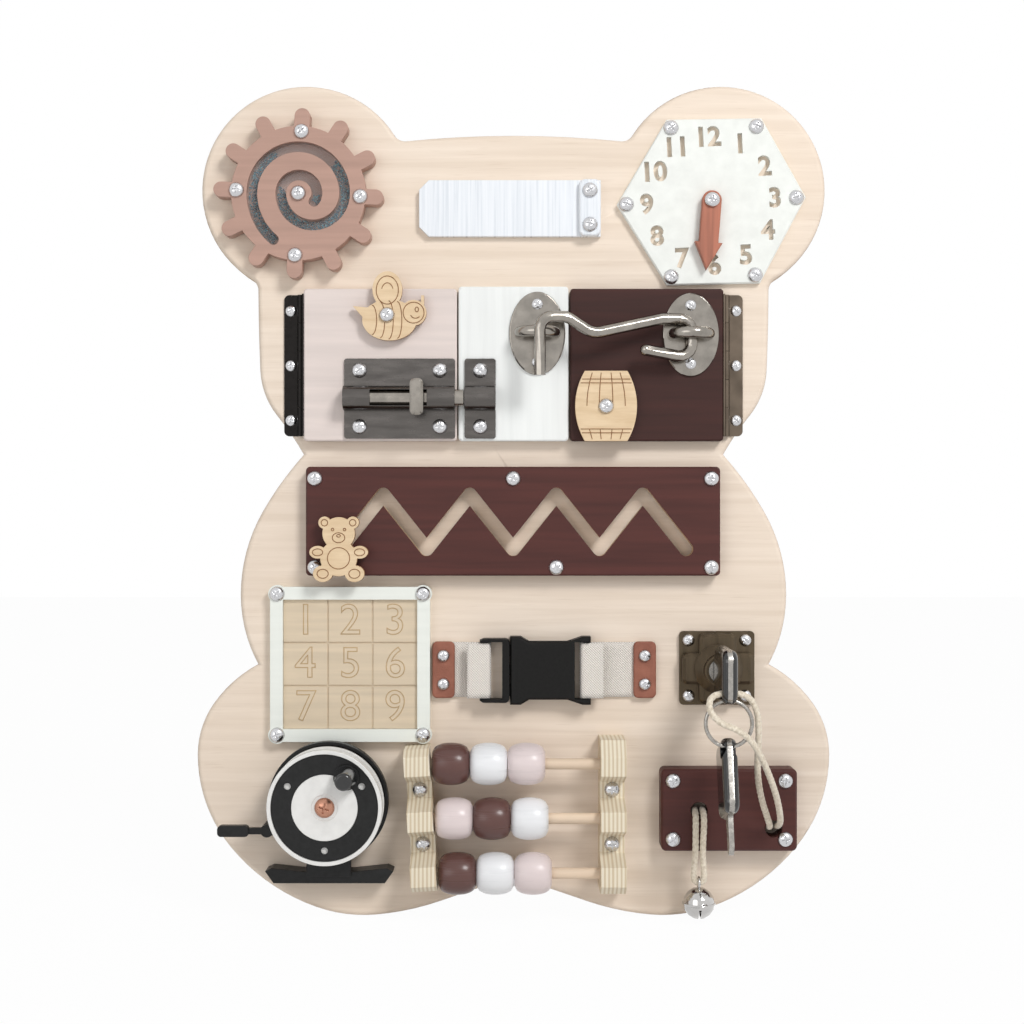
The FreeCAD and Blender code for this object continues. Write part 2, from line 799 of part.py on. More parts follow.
def groove_points():
    x, y = groove_first
    return [(x + i * groove_step, y + (i % 2) * groove_rise) for i in range(groove_legs + 1)]


def zigzag(width, z0, z1):
    spots = groove_points()
    pieces = [disc(x, y, width / 2, z0, z1) for x, y in spots]
    for (xa, ya), (xb, yb) in zip(spots, spots[1:]):
        length = math.hypot(xb - xa, yb - ya)
        leg = box(0, -width / 2, length, width / 2, z0, z1)
        leg.rotate(V(0, 0, 0), OUT, math.degrees(math.atan2(yb - ya, xb - xa)))
        leg.translate(V(xa, ya, 0))
        pieces.append(leg)
    return fused(pieces)


maze_top = face + maze_thick


def make_maze():
    x1 = maze_left + maze_width
    y1 = maze_bottom + maze_height
    spots = [(maze_left + 4.3, y1 - 5.6), (maze_left + maze_width / 2, y1 - 5.6), (x1 - 4.3, y1 - 5.6),
             (maze_left + 4.3, maze_bottom + 4.0), (x1 - 4.3, maze_bottom + 4.0),
             (groove_first[0] + 5 * groove_step, maze_bottom + 4.0)]
    for x, y in spots:
        drive("board_screws", x, y, maze_top, maze_thick + bite)
    plate = rounded(maze_left, maze_bottom, x1, y1, face, maze_top, maze_corner)
    plate = eased(plate, maze_top, 0.8)
    plate = plate.cut(zigzag(groove_width, face, maze_top))
    plate = plate.cut(zigzag(groove_back_width, face, face + groove_back_depth))
    write("maze_plate", drilled(plate, "board_screws"))


def make_bear():
    # Seen from the front: round head with ears over a body with arms and feet
    x, y = groove_first
    low = maze_top + slider_lift
    top = low + slider_thick
    rise, radius = slider_head
    pieces = [disc(0, rise, radius, low, top), oval(0, *slider_body, low, top)]
    for side in (-1, 1):
        aside, rise, radius = slider_ear
        pieces.append(disc(side * aside, rise, radius, low, top))
        for aside, rise, half_x, half_y in (slider_arm, slider_foot):
            pieces.append(oval(side * aside, rise, half_x, half_y, low, top))
    pieces.append(disc(0, 0, slider_collar, maze_top + slider_gap, low))
    stem_radius = groove_width / 2 - slider_gap
    pieces.append(disc(0, 0, stem_radius, face + slider_gap, maze_top + slider_gap))
    flange_top = face + groove_back_depth - slider_gap
    pieces.append(disc(0, 0, groove_back_width / 2 - slider_gap, face + slider_gap, flange_top))
    bear = fused(pieces)
    bear.translate(V(x, y, 0))
    write("bear_slider", bear)


def make_numbers():
    x, y = numbers_at
    w = frame_width / 2
    h = frame_height / 2
    b = frame_bar
    top = face + frame_thick
    outside = [rounded(x - w, y - h, x + w, y + h, face, top, 1.5)]
    for sx in (-1, 1):
        for sy in (-1, 1):
            corner = (x + sx * (w - b / 2 - 0.3), y + sy * (h - b / 2 - 0.3))
            outside.append(disc(corner[0], corner[1], frame_lobe, face, top))
            drive("board_screws", corner[0], corner[1], top, frame_thick + bite)
    frame = fused(outside).cut(box(x - w + b, y - h + b, x + w - b, y + h - b, face, top))
    write("number_frame", drilled(frame, "board_screws"))
    ww = w - b - 0.1
    hh = h - b - 0.1
    panel = box(x - ww, y - hh, x + ww, y + hh, face, face + number_thick)
    for i in (-1, 1):
        across = i * ww / 3
        along = i * hh / 3
        panel = panel.cut(box(x + across - number_line / 2, y - hh, x + across + number_line / 2, y + hh,
                              face + number_thick - 0.6, face + number_thick))
        panel = panel.cut(box(x - ww, y + along - number_line / 2, x + ww, y + along + number_line / 2,
                              face + number_thick - 0.6, face + number_thick))
    write("number_panel", panel)


buckle_low = face + buckle_lift
buckle_top = buckle_low + buckle_thick
male_right = male_left + male_width
female_left = male_right + 0.3
female_right = female_left + female_length
bar_low = face + strap_thick + 2 * strap_gap + 0.4
bar_high = bar_low + 3.6


def strap_loop(side, tab_outer, bar_near, bar_far):
    # The strap lies under its tab, goes under the buckle's bar and folds back over it
    t = strap_thick
    g = strap_gap
    z0 = face
    turn = bar_far + side * g
    points = [(tab_outer, z0), (turn + side * t, z0), (turn + side * t, bar_high + g + t),
              (bar_near - side * 6.0, bar_high + g + t), (bar_near - side * 6.0, bar_high + g),
              (turn, bar_high + g), (turn, z0 + t), (tab_outer, z0 + t)]
    return profile_along_y(points, strap_y - strap_width / 2, strap_y + strap_width / 2)


def make_strap():
    half = strap_width / 2
    tab_low = face + strap_thick
    tab_top = tab_low + tab_thick
    right_tab_far = right_tab + tab_width
    tabs = []
    for x0 in (left_tab, right_tab):
        middle = x0 + tab_width / 2
        for side in (-1, 1):
            drive("board_screws", middle, strap_y + side * tab_screw_span / 2, tab_top,
                  tab_top - face + bite, low_radius, pan_height)
        tab = rounded(x0, strap_y - tab_height / 2, x0 + tab_width, strap_y + tab_height / 2,
                      tab_low, tab_top, 2.4)
        tabs.append(drilled(eased(tab, tab_top, 0.5), "board_screws"))
    write("strap_tabs", Part.makeCompound(tabs))
    male_bar_right = male_left + male_bar
    left = strap_loop(1, left_tab + 0.6, male_left, male_bar_right)
    write("left_strap", drilled(left, "board_screws"))
    bar_far = female_right - female_bar
    right = strap_loop(-1, right_tab_far - 0.6, female_right, bar_far)
    write("right_strap", drilled(right, "board_screws"))
    mh = male_height / 2
    z0 = buckle_low
    z1 = buckle_top
    frame = rounded(male_left, strap_y - mh, male_right, strap_y + mh, z0, z1, 2.2)
    window = box(male_left - 1, strap_y - half - 0.5, male_right - 3.4, strap_y + half + 0.5, z0, z1)
    frame = frame.cut(window)
    bar = box(male_left, strap_y - half - 1.5, male_bar_right, strap_y + half + 1.5, bar_low, bar_high)
    middle = (z0 + z1) / 2
    pz0 = middle - prong_thick / 2
    pz1 = middle + prong_thick / 2
    prongs = []
    for side in (-1, 1):
        outer = strap_y + side * (female_height / 2 - female_wall - prong_clear - prong_barb)
        inner = outer - side * prong_width
        tip = male_right + prong_length
        barb = outer + side * prong_barb
        points = [(male_right - 1, inner), (tip - 8, inner), (tip, inner - side * 2.4),
                  (tip, outer - side * 2.6), (tip - 3.5, barb), (tip - 9, barb), (tip - 10.5, outer),
                  (male_right - 1, outer)]
        prongs.append(prism(points, pz0, pz1))
    guide = box(male_right - 1, strap_y - 2.2, male_right + prong_length - 6, strap_y + 2.2, pz0, pz1)
    write("buckle_male", fused([frame, bar, guide] + prongs))
    make_female(z0, z1, pz0, pz1)


def make_female(z0, z1, pz0, pz1):
    fh = female_height / 2
    x0 = female_left
    x1 = female_right
    waist = 2.4
    points = [(x0, strap_y - fh), (x0 + 5, strap_y - fh), (x0 + 9, strap_y - fh + waist),
              (x1 - 11, strap_y - fh + waist), (x1 - 4, strap_y - fh), (x1, strap_y - fh),
              (x1, strap_y + fh), (x1 - 4, strap_y + fh), (x1 - 11, strap_y + fh - waist),
              (x0 + 9, strap_y + fh - waist), (x0 + 5, strap_y + fh), (x0, strap_y + fh)]
    body = eased(prism(points, z0, z1), z1, 0.9)
    inner = fh - female_wall
    gap = strap_gap
    pocket = box(x0 - 1, strap_y - inner, x1 - 9, strap_y + inner, pz0 - gap, pz1 + gap)
    ports = box(x0 + 9, strap_y - fh - 1, x1 - 10, strap_y + fh + 1, pz0 - gap, pz1 + gap)
    half = strap_width / 2 + 0.5
    bar_near = x1 - female_bar
    eye = box(bar_near - 4.0, strap_y - half, bar_near, strap_y + half, z0, z1)
    above = box(bar_near, strap_y - half, x1 + 1, strap_y + half, bar_high, z1)
    below = box(bar_near, strap_y - half, x1 + 1, strap_y + half, z0, bar_low)
    body = body.cut([pocket, ports, eye, above, below])
    write("buckle_female", body)


lock_x, lock_y = lock_at
lock_face = face + barrel_face
key_shoulder = lock_face + 0.5
key_hole_up = key_head_length - key_hole_inset
ring_y = lock_y - key_hole_aside - ring_hang - ring_radius
ring_z = key_shoulder + key_hole_up
key_two_y = ring_y - ring_radius - ring_hang


def key_shape():
    # The hole for the ring is at the origin; the blade points to -z
    t = key_head_thick / 2
    side = key_hole_aside
    w = key_head_width / 2
    top = key_hole_inset
    low = -key_hole_up
    head = Part.makeBox(2 * t, 2 * w, key_head_length, V(-t, side - w, low))
    along = [e for e in head.Edges if abs(e.Vertexes[0].X - e.Vertexes[1].X) > 1]
    head = head.makeFillet(5.5, along)
    head = head.makeFillet(key_head_round, [e for e in head.Edges if e.BoundBox.XLength < 0.01])
    hole = Part.makeCylinder(key_hole_radius, 4 * t, V(-2 * t, 0, 0), V(1, 0, 0))
    blade_half = key_blade_height / 2
    tip = low - key_blade_length
    profile = [(side - blade_half, low), (side - blade_half, tip + 3), (side - 0.5, tip), (side + 1.0, tip),
               (side + blade_half, tip + 2.6), (side + 2.8, tip + 5), (side + blade_half, tip + 7),
               (side + 2.4, tip + 9.4), (side + blade_half, tip + 11.6), (side + blade_half, low)]
    blade = profile_along_x(profile, -key_blade_thick / 2, key_blade_thick / 2)
    return head.cut(hole).fuse(blade).removeSplitter()


def make_lock():
    x, y = lock_at
    w = lock_width / 2
    h = lock_height / 2
    top = face + lock_plate_thick
    rise = top + lock_cross_rise
    across = w - lock_screw_inset
    along = h - lock_screw_inset
    clear = []
    for sx in (-1, 1):
        for sy in (-1, 1):
            drive("board_screws", x + sx * across, y + sy * along, top, lock_plate_thick + bite,
                  low_radius, pan_height)
            clear.append(disc(x + sx * across, y + sy * along, low_radius + 0.6, top, rise))
    plate = rounded(x - w, y - h, x + w, y + h, face, top, 2.0)
    c = lock_upright_width / 2
    d = lock_level_width / 2
    upright = rounded(x - c, y - h + 1, x + c, y + h - 1, top, rise, lock_cross_corner)
    level = rounded(x - w + 1, y - d, x + w - 1, y + d, top, rise, lock_cross_corner)
    cross = eased(upright, rise, lock_cross_ease).fuse(eased(level, rise, lock_cross_ease)).cut(clear)
    plate = plate.fuse(cross).cut(disc(x, y, lock_barrel_radius, face, rise)).removeSplitter()
    floor = face + lock_floor
    bore = plug_radius + plug_gap
    barrel = turned([(0, face), (lock_barrel_radius, face), (lock_barrel_radius, lock_face - 0.8),
                     (lock_barrel_radius - 0.8, lock_face), (bore, lock_face),
                     (bore, floor), (0, floor)], (x, y))
    cone = turned([(lock_barrel_radius, rise), (lock_cone_radius, rise), (lock_cone_radius, rise + 1.0),
                   (lock_barrel_radius, rise + lock_cone_rise)], (x, y))
    write("lock_body", Part.makeCompound([drilled(plate, "board_screws"), barrel, cone]))
    plug = disc(x, y, plug_radius, floor + 0.1, lock_face)
    slot_x = key_blade_thick / 2 + key_gap
    slot_y = key_blade_height / 2 + key_gap
    slot = box(x - slot_x, y - slot_y, x + slot_x, y + slot_y, floor + 0.3, lock_face + 1)
    write("lock_plug", plug.cut(slot))
    key = key_shape()
    first = key.copy()
    first.translate(V(lock_x, lock_y - key_hole_aside, ring_z))
    write("key_one", first)
    ring = Part.makeTorus(ring_radius, ring_wire, V(lock_x, ring_y, ring_z), OUT)
    write("key_ring", ring)
    second = key.copy()
    second.rotate(V(0, 0, 0), V(1, 0, 0), -90 - key_two_lean)
    second.translate(V(lock_x, key_two_y, ring_z))
    write("key_two", second)


# Points of the cords, given from the face of the board
bell_cord_route = [(85.2, -145.4, 6.0), (85.2, -145.8, 13.0), (84.9, -151.6, 15.6), (84.9, -159.5, 15.2),
                   (84.8, -167.5, 14.2), (84.2, -173.6, 13.4), (84.2, -178.6, 13.1), (89.0, -178.6, 13.1),
                   (89.0, -173.6, 13.4), (88.4, -167.5, 14.2), (88.3, -159.5, 15.2), (88.8, -151.6, 15.6),
                   (88.9, -145.8, 13.0), (88.9, -145.4, 6.0)]
tether_route = [(120.2, -153.6, 6.0), (120.0, -153.0, 14.0), (117.4, -146.8, 21.4), (113.6, -137.6, 29.4),
                (110.8, -126.8, 36.0), (110.0, -115.8, 40.6), (110.4, -105.0, 42.6), (109.6, -95.2, 43.8),
                (106.2, -88.8, 45.8), (101.0, -86.5, 47.3), (92.0, -86.5, 47.4), (87.2, -88.6, 50.2),
                (86.8, -93.8, 53.6), (91.2, -99.0, 55.2), (98.8, -101.6, 55.0), (105.6, -106.8, 52.2),
                (110.8, -115.2, 48.0), (115.4, -124.8, 42.4), (119.4, -134.4, 35.4), (122.4, -143.8, 26.8),
                (124.2, -151.4, 16.6), (123.9, -153.6, 6.0)]


def cord(route, name):
    points = [V(x, y, face + z) for x, y, z in route]
    bends = []
    for before, corner, after in zip(points, points[1:], points[2:]):
        shorter = min((before - corner).Length, (after - corner).Length)
        half_turn = (math.pi - (before - corner).getAngle(after - corner)) / 2
        bends.append(0.45 * shorter / math.tan(half_turn))
    print(name, "bend radii", [round(b, 1) for b in bends])
    tube = bent_wire(points, bends, cord_radius)
    length = sum((b - a).Length for a, b in zip(points, points[1:]))
    section = wire_sides / 2 * cord_radius ** 2 * math.sin(2 * math.pi / wire_sides)
    share = tube.Volume / (section * length)
    print(name, "runs", round(length, 1), "volume share of runs", round(share, 3))
    return tube


def make_bell():
    x0 = bell_plate_left
    y0 = bell_plate_bottom
    x1 = x0 + bell_plate_width
    y1 = y0 + bell_plate_height
    top = face + bell_plate_thick
    i = bell_screw_inset
    for x in (x0 + i, x1 - i):
        for y in (y0 + i, y1 - i):
            drive("board_screws", x, y, top, bell_plate_thick + bite)
    plate = eased(rounded(x0, y0, x1, y1, face, top, bell_plate_corner), top, 1.0)
    for x, y in (bell_hole, tether_hole):
        plate = plate.cut(disc(x, y, cord_hole_radius, face, top))
    write("bell_plate", drilled(plate, "board_screws"))
    write("bell_cord", cord(bell_cord_route, "bell cord"))
    write("key_tether", cord(tether_route, "key tether"))
    x, y = bell_at
    z = face + bell_stand_off
    shell = []
    for radius in (bell_radius, bell_radius - bell_wall):
        arc = [(radius * math.sin(math.pi * i / bell_bands), radius * math.cos(math.pi * i / bell_bands))
               for i in range(bell_bands + 1)]
        corners = [V(x + abs(across), y + along, z) for across, along in arc]
        shell.append(Part.Face(Part.makePolygon(corners + corners[:1])).revolve(V(x, y, z), V(0, 1, 0), 360))
    ball = shell[0].cut(shell[1])
    slot = box(x - bell_slot / 2, y - bell_radius - 1, x + bell_slot / 2, y - 2, z - 20, z + 20)
    foot = V(x, y - bell_seam, z)
    seam = Part.makeCylinder(bell_radius + bell_seam, 2 * bell_seam, foot, V(0, 1, 0))
    seam = seam.cut(Part.makeCylinder(bell_radius - bell_seam, 2 * bell_seam, foot, V(0, 1, 0)))
    crown = V(x, y + bell_radius + bell_loop_rise, z)
    loop = Part.makeTorus(bell_loop_radius, bell_loop_wire, crown, V(1, 0, 0))
    loop = loop.cut(shell[1])
    write("bell", fused([ball.cut(slot), seam, loop]))


spool_low = face + spool_front - spool_depth
spool_top = face + spool_front


def make_reel():
    x, y = reel_at
    kx = knob_at[0] - x
    ky = knob_at[1] - y
    screw_seat = spool_top - spool_dish + 0.8 + running_gap
    drive("board_screws", x, y, screw_seat, screw_seat - face + bite, reel_screw_radius, pan_height)
    back_low = face + reel_back_front - reel_back_thick - reel_rim
    back = disc(x, y, reel_back_radius, back_low, back_low + reel_back_thick)
    rim = disc(x, y, reel_back_radius, back_low, back_low + reel_back_thick + reel_rim)
    rim = rim.cut(disc(x, y, reel_back_radius - 1.6, back_low, spool_top))
    hub = disc(x, y, 9.0, face, back_low)
    half_stem = reel_stem_width / 2
    half_foot = reel_foot_width / 2
    foot_top = reel_foot_y + reel_foot_height / 2
    stem = box(x - half_stem, reel_foot_y, x + half_stem, y - 18, back_low, back_low + reel_back_thick)
    foot_low = foot_top - reel_foot_height
    foot = prism([(x - half_foot, foot_top - 1.4), (x - half_foot + 4, foot_low),
                  (x + half_foot - 4, foot_low), (x + half_foot, foot_top - 1.4),
                  (x + half_foot - 3, foot_top),
                  (x + half_stem + 1, foot_top - 1.6), (x - half_stem - 1, foot_top - 1.6),
                  (x - half_foot + 3, foot_top)], face, face + reel_foot_rise)
    axle = disc(x, y, 4.0, back_low, spool_low + 6.0)
    frame = fused([back, rim, hub, stem, foot, axle]).cut(shank(x, y, face, spool_top))
    ear = disc(lever_pivot[0], lever_pivot[1], 3.0, face, back_low + reel_back_thick)
    ear = ear.cut(disc(lever_pivot[0], lever_pivot[1], 1.0 + turning_gap, face, spool_top))
    bridge = box(lever_pivot[0], lever_pivot[1] - 2.5, x - 20, lever_pivot[1] + 2.5,
                 back_low, back_low + reel_back_thick)
    ear = fused([ear, bridge.cut(disc(lever_pivot[0], lever_pivot[1], 3.0, face, spool_top))])
    write("reel_frame", fused([frame, ear.cut(frame)]))
    make_spool(x, y)
    lever_low = back_low + reel_back_thick + turning_gap
    lever = [disc(0, 0, 3.0, lever_low, lever_low + 2.4),
             box(-9.0, -1.5, 0, 1.5, lever_low, lever_low + 2.4),
             rounded(-lever_reach, -lever_width / 2, -8.4, lever_width / 2,
                     lever_low - 0.8, lever_low + 3.2, 1.8),
             disc(0, 0, 1.0, face + 1.0, lever_low)]
    lever = fused(lever)
    lever.translate(V(lever_pivot[0], lever_pivot[1], 0))
    write("reel_lever", lever)
    boss_top = spool_top + knob_boss_height
    knob = Part.makeCone(knob_base, knob_tip, knob_height, V(x + kx, y + ky, boss_top + turning_gap))
    knob = eased(knob, boss_top + turning_gap + knob_height, 0.8)
    pin_hole = disc(x + kx, y + ky, 1.2 + turning_gap, boss_top, boss_top + knob_height - 3.0)
    write("reel_knob", knob.cut(pin_hole))


def make_spool(x, y):
    kx, ky = knob_at
    inner = spool_face_inner
    outer = spool_face_outer
    dish = spool_top - spool_dish
    bore = 4.0 + turning_gap
    drum = 16.0
    spool = turned([(bore, spool_low), (spool_radius, spool_low), (spool_radius, spool_low + 2.0),
                    (drum, spool_low + 2.0), (drum, spool_top - 4.6), (spool_radius, spool_top - 4.6),
                    (spool_radius, spool_top), (outer, spool_top), (outer, dish), (inner, dish),
                    (inner, spool_top - 1.0), (6.0, spool_top - 1.0), (6.0, dish + 0.8),
                    (shank_radius + turning_gap, dish + 0.8), (shank_radius + turning_gap, spool_low + 6.4),
                    (bore, spool_low + 6.4)], (x, y))
    boss = disc(kx, ky, knob_base + 0.6, dish, spool_top + knob_boss_height)
    pin = disc(kx, ky, 1.2, spool_top + knob_boss_height, spool_top + knob_boss_height + knob_height - 3.4)
    seat = disc(kx, ky, knob_base + 0.7, dish, spool_top + 9)
    spool = spool.cut(seat)
    ring_low = dish + 0.05
    ring = disc(x, y, outer - 0.1, ring_low, dish + 1.2).cut(disc(x, y, inner + 0.1, face, spool_top))
    for i in range(3):
        a = math.radians(30.0 + 120.0 * i)
        spot = (x + spool_hole_circle * math.cos(a), y + spool_hole_circle * math.sin(a))
        ring = ring.cut(disc(spot[0], spot[1], 1.6, ring_low, spool_top))
    write("reel_spool", spool)
    write("reel_crank_ring", fused([ring, boss, pin]))


def post(centre, lean, height):
    # A block whose front is scalloped: high at the rods, low at the screws
    half = height / 2
    gap = (rod_y[0] - rod_y[2]) / 2
    shift = rod_y[1] - centre[1]
    top = face + post_rise
    low = face + post_valley
    points = [(-half, face), (half, face), (half, top - 6.0)]
    profile = []
    for i in (1, 0, -1):
        rod = shift + i * gap
        profile += [(rod + post_bump / 2, top), (rod - post_bump / 2, top)]
        if i > -1:
            middle = rod - gap / 2
            profile += [(middle + 3.8, low), (middle - 3.8, low)]
    points += profile + [(-half, top - 6.0)]
    x, y = centre
    block = profile_along_x(points, -post_width / 2, post_width / 2)
    block.rotate(V(0, 0, 0), OUT, lean)
    block.translate(V(x, y, 0))
    return block


def make_bead_frame():
    rod_z = face + rod_rise
    posts = []
    rods = []
    screw_rise = (rod_y[0] - rod_y[2]) / 4
    for centre, lean, height in ((left_post, left_post_lean, left_post_height),
                                 (right_post, 0.0, right_post_height)):
        for side in (-1, 1):
            a = math.radians(lean)
            along = rod_y[1] - centre[1] + side * screw_rise
            x = centre[0] - along * math.sin(a)
            y = centre[1] + along * math.cos(a)
            drive("board_screws", x, y, face + post_valley, post_valley + bite)
        posts.append(post(centre, lean, height))
    for y in rod_y:
        x0 = left_post[0] - rod_overhang
        x1 = right_post[0] + rod_overhang
        rods.append(Part.makeCylinder(rod_radius, x1 - x0, V(x0, y, rod_z), V(1, 0, 0)))
    pair = [drilled(p.cut(rods), "board_screws") for p in posts]
    write("bead_posts", Part.makeCompound(pair))
    write("bead_rods", Part.makeCompound(rods))
    lean = math.radians(left_post_lean)
    for row, y in enumerate(rod_y):
        drop = y - bead_radius - left_post[1]
        inner = left_post[0] - drop * math.tan(lean) + post_width / 2 / math.cos(lean)
        first = inner + bead_from_post + bead_length / 2
        for place in range(3):
            x = first + place * bead_spacing
            write("bead_" + str(row + 1) + str(place + 1), bead(x, y, rod_z))


def bead(x, y, z):
    # A barrel shaped bead: bands between points of an arc, turned about its bore along x
    half = bead_length / 2
    bulge = bead_radius - bead_end_radius
    outside = []
    for i in range(bead_bands + 1):
        along = half * (2.0 * i / bead_bands - 1)
        outside.append(V(x + along, y + bead_radius - bulge * (along / half) ** 2, z))
    bore = [V(x + half, y + bead_bore, z), V(x - half, y + bead_bore, z)]
    outline = Part.makePolygon(outside + bore + outside[:1])
    return Part.Face(outline).revolve(V(x, y, z), V(1, 0, 0), 360)


os.makedirs("parts", exist_ok=True)
make_gear()
make_mirror()
make_clock()
make_bee()
make_barrel_tag()
make_bolt()
make_hook()
make_hinges()
make_doors()
make_maze()
make_bear()
make_numbers()
make_strap()
make_lock()
make_bell()
make_reel()
make_bead_frame()
write("board", drilled(make_board(), "board_screws"))
for group, screws in driven.items():
    write(group, Part.makeCompound([screw for screw, _ in screws]))
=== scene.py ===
import bmesh
import bpy
import json
import math
import random
from mathutils import Matrix, Vector


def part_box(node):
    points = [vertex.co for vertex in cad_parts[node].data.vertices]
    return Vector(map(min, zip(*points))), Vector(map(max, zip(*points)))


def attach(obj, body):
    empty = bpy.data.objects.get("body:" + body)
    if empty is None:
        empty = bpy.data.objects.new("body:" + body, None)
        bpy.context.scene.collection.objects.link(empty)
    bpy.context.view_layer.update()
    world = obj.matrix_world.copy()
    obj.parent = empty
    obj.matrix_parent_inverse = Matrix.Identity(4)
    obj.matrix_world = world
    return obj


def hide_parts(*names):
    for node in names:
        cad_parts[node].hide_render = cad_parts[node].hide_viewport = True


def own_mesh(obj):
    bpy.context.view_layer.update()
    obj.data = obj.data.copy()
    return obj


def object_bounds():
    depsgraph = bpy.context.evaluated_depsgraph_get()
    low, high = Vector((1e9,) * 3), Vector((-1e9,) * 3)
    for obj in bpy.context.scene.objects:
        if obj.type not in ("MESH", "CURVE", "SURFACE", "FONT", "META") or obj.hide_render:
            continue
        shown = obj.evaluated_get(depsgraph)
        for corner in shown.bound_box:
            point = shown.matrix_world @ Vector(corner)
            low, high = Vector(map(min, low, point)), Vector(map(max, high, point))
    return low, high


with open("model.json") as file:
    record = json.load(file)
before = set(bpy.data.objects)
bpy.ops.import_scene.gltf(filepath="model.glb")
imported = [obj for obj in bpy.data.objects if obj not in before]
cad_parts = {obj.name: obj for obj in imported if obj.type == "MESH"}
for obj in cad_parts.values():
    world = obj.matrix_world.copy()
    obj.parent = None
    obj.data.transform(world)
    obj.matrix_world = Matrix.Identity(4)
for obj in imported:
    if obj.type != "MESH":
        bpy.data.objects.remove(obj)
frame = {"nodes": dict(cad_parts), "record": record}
cad_box = [list(corner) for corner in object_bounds()]
nodes = frame["nodes"]
slot_of = {part["node"]: part["material_slot"] for part in frame["record"]["subparts"]}
body_of = {n: b for b, members in frame["record"]["behaviour"]["bodies"].items() for n in members}

# Camera: square to the face of the board and a little under a metre away, aimed
# just below its middle, as in the photograph.
camera_data = bpy.data.cameras.new("camera")
camera_data.lens = 59.2
camera_data.sensor_width = 36.0
camera = bpy.data.objects.new("camera", camera_data)
camera.location = (-0.0007, -0.812, -0.0055)
camera.rotation_euler = (math.radians(90), 0, 0)
bpy.context.scene.collection.objects.link(camera)
bpy.context.scene.camera = camera


# Surface finishes are sums and products of sockets, so a socket is wrapped to
# be written as arithmetic, and one method adds any other node.
class Value:
    def __init__(self, finish, socket):
        self.finish = finish
        self.socket = socket

    def maths(self, kind, other):
        return self.finish.node("ShaderNodeMath", {"operation": kind}, {0: self, 1: other})

    def __add__(self, other):
        return self.maths("ADD", other)

    def __sub__(self, other):
        return self.maths("SUBTRACT", other)

    def __mul__(self, other):
        return self.maths("MULTIPLY", other)

    def __gt__(self, other):
        return self.maths("GREATER_THAN", other)

    def __lt__(self, other):
        return self.maths("LESS_THAN", other)


class Finish:
    def __init__(self, name, roughness=0.5, metallic=0.0, **fixed):
        self.material = bpy.data.materials.new(name)
        self.material.use_nodes = True
        self.tree = self.material.node_tree
        self.shader = self.tree.nodes["Principled BSDF"]
        self.shader.inputs["Roughness"].default_value = roughness
        self.shader.inputs["Metallic"].default_value = metallic
        for socket, value in fixed.items():
            self.shader.inputs[socket.replace("_", " ")].default_value = value
        self.place = self.node("ShaderNodeTexCoord", {}, {}, "Object")

    def node(self, kind, settings, inputs, output=0):
        made = self.tree.nodes.new(kind)
        for name, value in settings.items():
            setattr(made, name, value)
        for name, value in inputs.items():
            if isinstance(value, Value):
                self.tree.links.new(value.socket, made.inputs[name])
            else:
                made.inputs[name].default_value = value
        return Value(self, made.outputs[output])

    def stretched(self, scale):
        return self.node("ShaderNodeMapping", {}, {"Vector": self.place, "Scale": scale})

    def noise(self, scale, detail=3.0, distortion=0.0):
        return self.node("ShaderNodeTexNoise", {}, {"Vector": self.stretched(scale), "Scale": 1.0,
                         "Detail": detail, "Distortion": distortion}, "Fac")

    def blend(self, amount, first, second):
        return self.node("ShaderNodeMix", {"data_type": "RGBA"}, {0: amount, 6: first, 7: second}, 2)

    def span(self, value, low, high, to_low=0.0, to_high=1.0):
        return self.node("ShaderNodeMapRange", {}, {0: value, 1: low, 2: high, 3: to_low, 4: to_high})

    def axis(self, name, at=None):
        return self.node("ShaderNodeSeparateXYZ", {}, {0: at or self.place}, name)

    def facing(self, name):
        return self.axis(name, self.node("ShaderNodeTexCoord", {}, {}, "Normal"))

    def set(self, socket, value):
        self.tree.links.new(value.socket, self.shader.inputs[socket])
        return self

    def bump(self, height, strength, distance):
        made = self.node("ShaderNodeBump", {}, {"Height": height, "Strength": strength, "Distance": distance})
        return self.set("Normal", made)


def seen(red, green, blue):
    # A colour as it looks on screen, 0 to 255, turned into light
    return tuple((c / 255 / 12.92 if c < 10 else ((c / 255 + 0.055) / 1.055) ** 2.4)
                 for c in (red, green, blue)) + (1.0,)


# Cotton cords: one loop carries the bell, the other ties the keys to the board.
# Both are three strand twisted cotton that comes out of a hole in the plate.
cord_width = 0.003
strands = 3
twist_length = 0.0085
strand_sides = 24
strand_valley = 0.80
strand_swell = 0.20
strand_round = 0.6
face = 0.012
bell_route = [(85.2, -145.4, 6.0), (85.2, -145.8, 13.0), (84.9, -151.6, 15.6), (84.9, -159.5, 15.2),
              (84.8, -167.5, 14.2), (84.2, -173.6, 13.4), (84.2, -178.6, 13.1), (89.0, -178.6, 13.1),
              (89.0, -173.6, 13.4), (88.4, -167.5, 14.2), (88.3, -159.5, 15.2), (88.8, -151.6, 15.6),
              (88.9, -145.8, 13.0), (88.9, -145.4, 6.0)]
tether_route = [(120.2, -153.6, 6.0), (120.0, -153.0, 14.0), (117.4, -146.8, 21.4), (113.6, -137.6, 29.4),
                (110.8, -126.8, 36.0), (110.0, -115.8, 40.6), (110.4, -105.0, 42.6), (109.6, -95.2, 43.8),
                (106.2, -88.8, 45.8), (101.0, -86.5, 47.3), (92.0, -86.5, 47.4), (87.2, -88.6, 50.2),
                (86.8, -93.8, 53.6), (91.2, -99.0, 55.2), (98.8, -101.6, 55.0), (105.6, -106.8, 52.2),
                (110.8, -115.2, 48.0), (115.4, -124.8, 42.4), (119.4, -134.4, 35.4), (122.4, -143.8, 26.8),
                (124.2, -151.4, 16.6), (123.9, -153.6, 6.0)]


def upright(x, out, up):
    # A place in millimetres on the board, counted out from its face
    return Vector((x / 1000, -face - out / 1000, up / 1000))


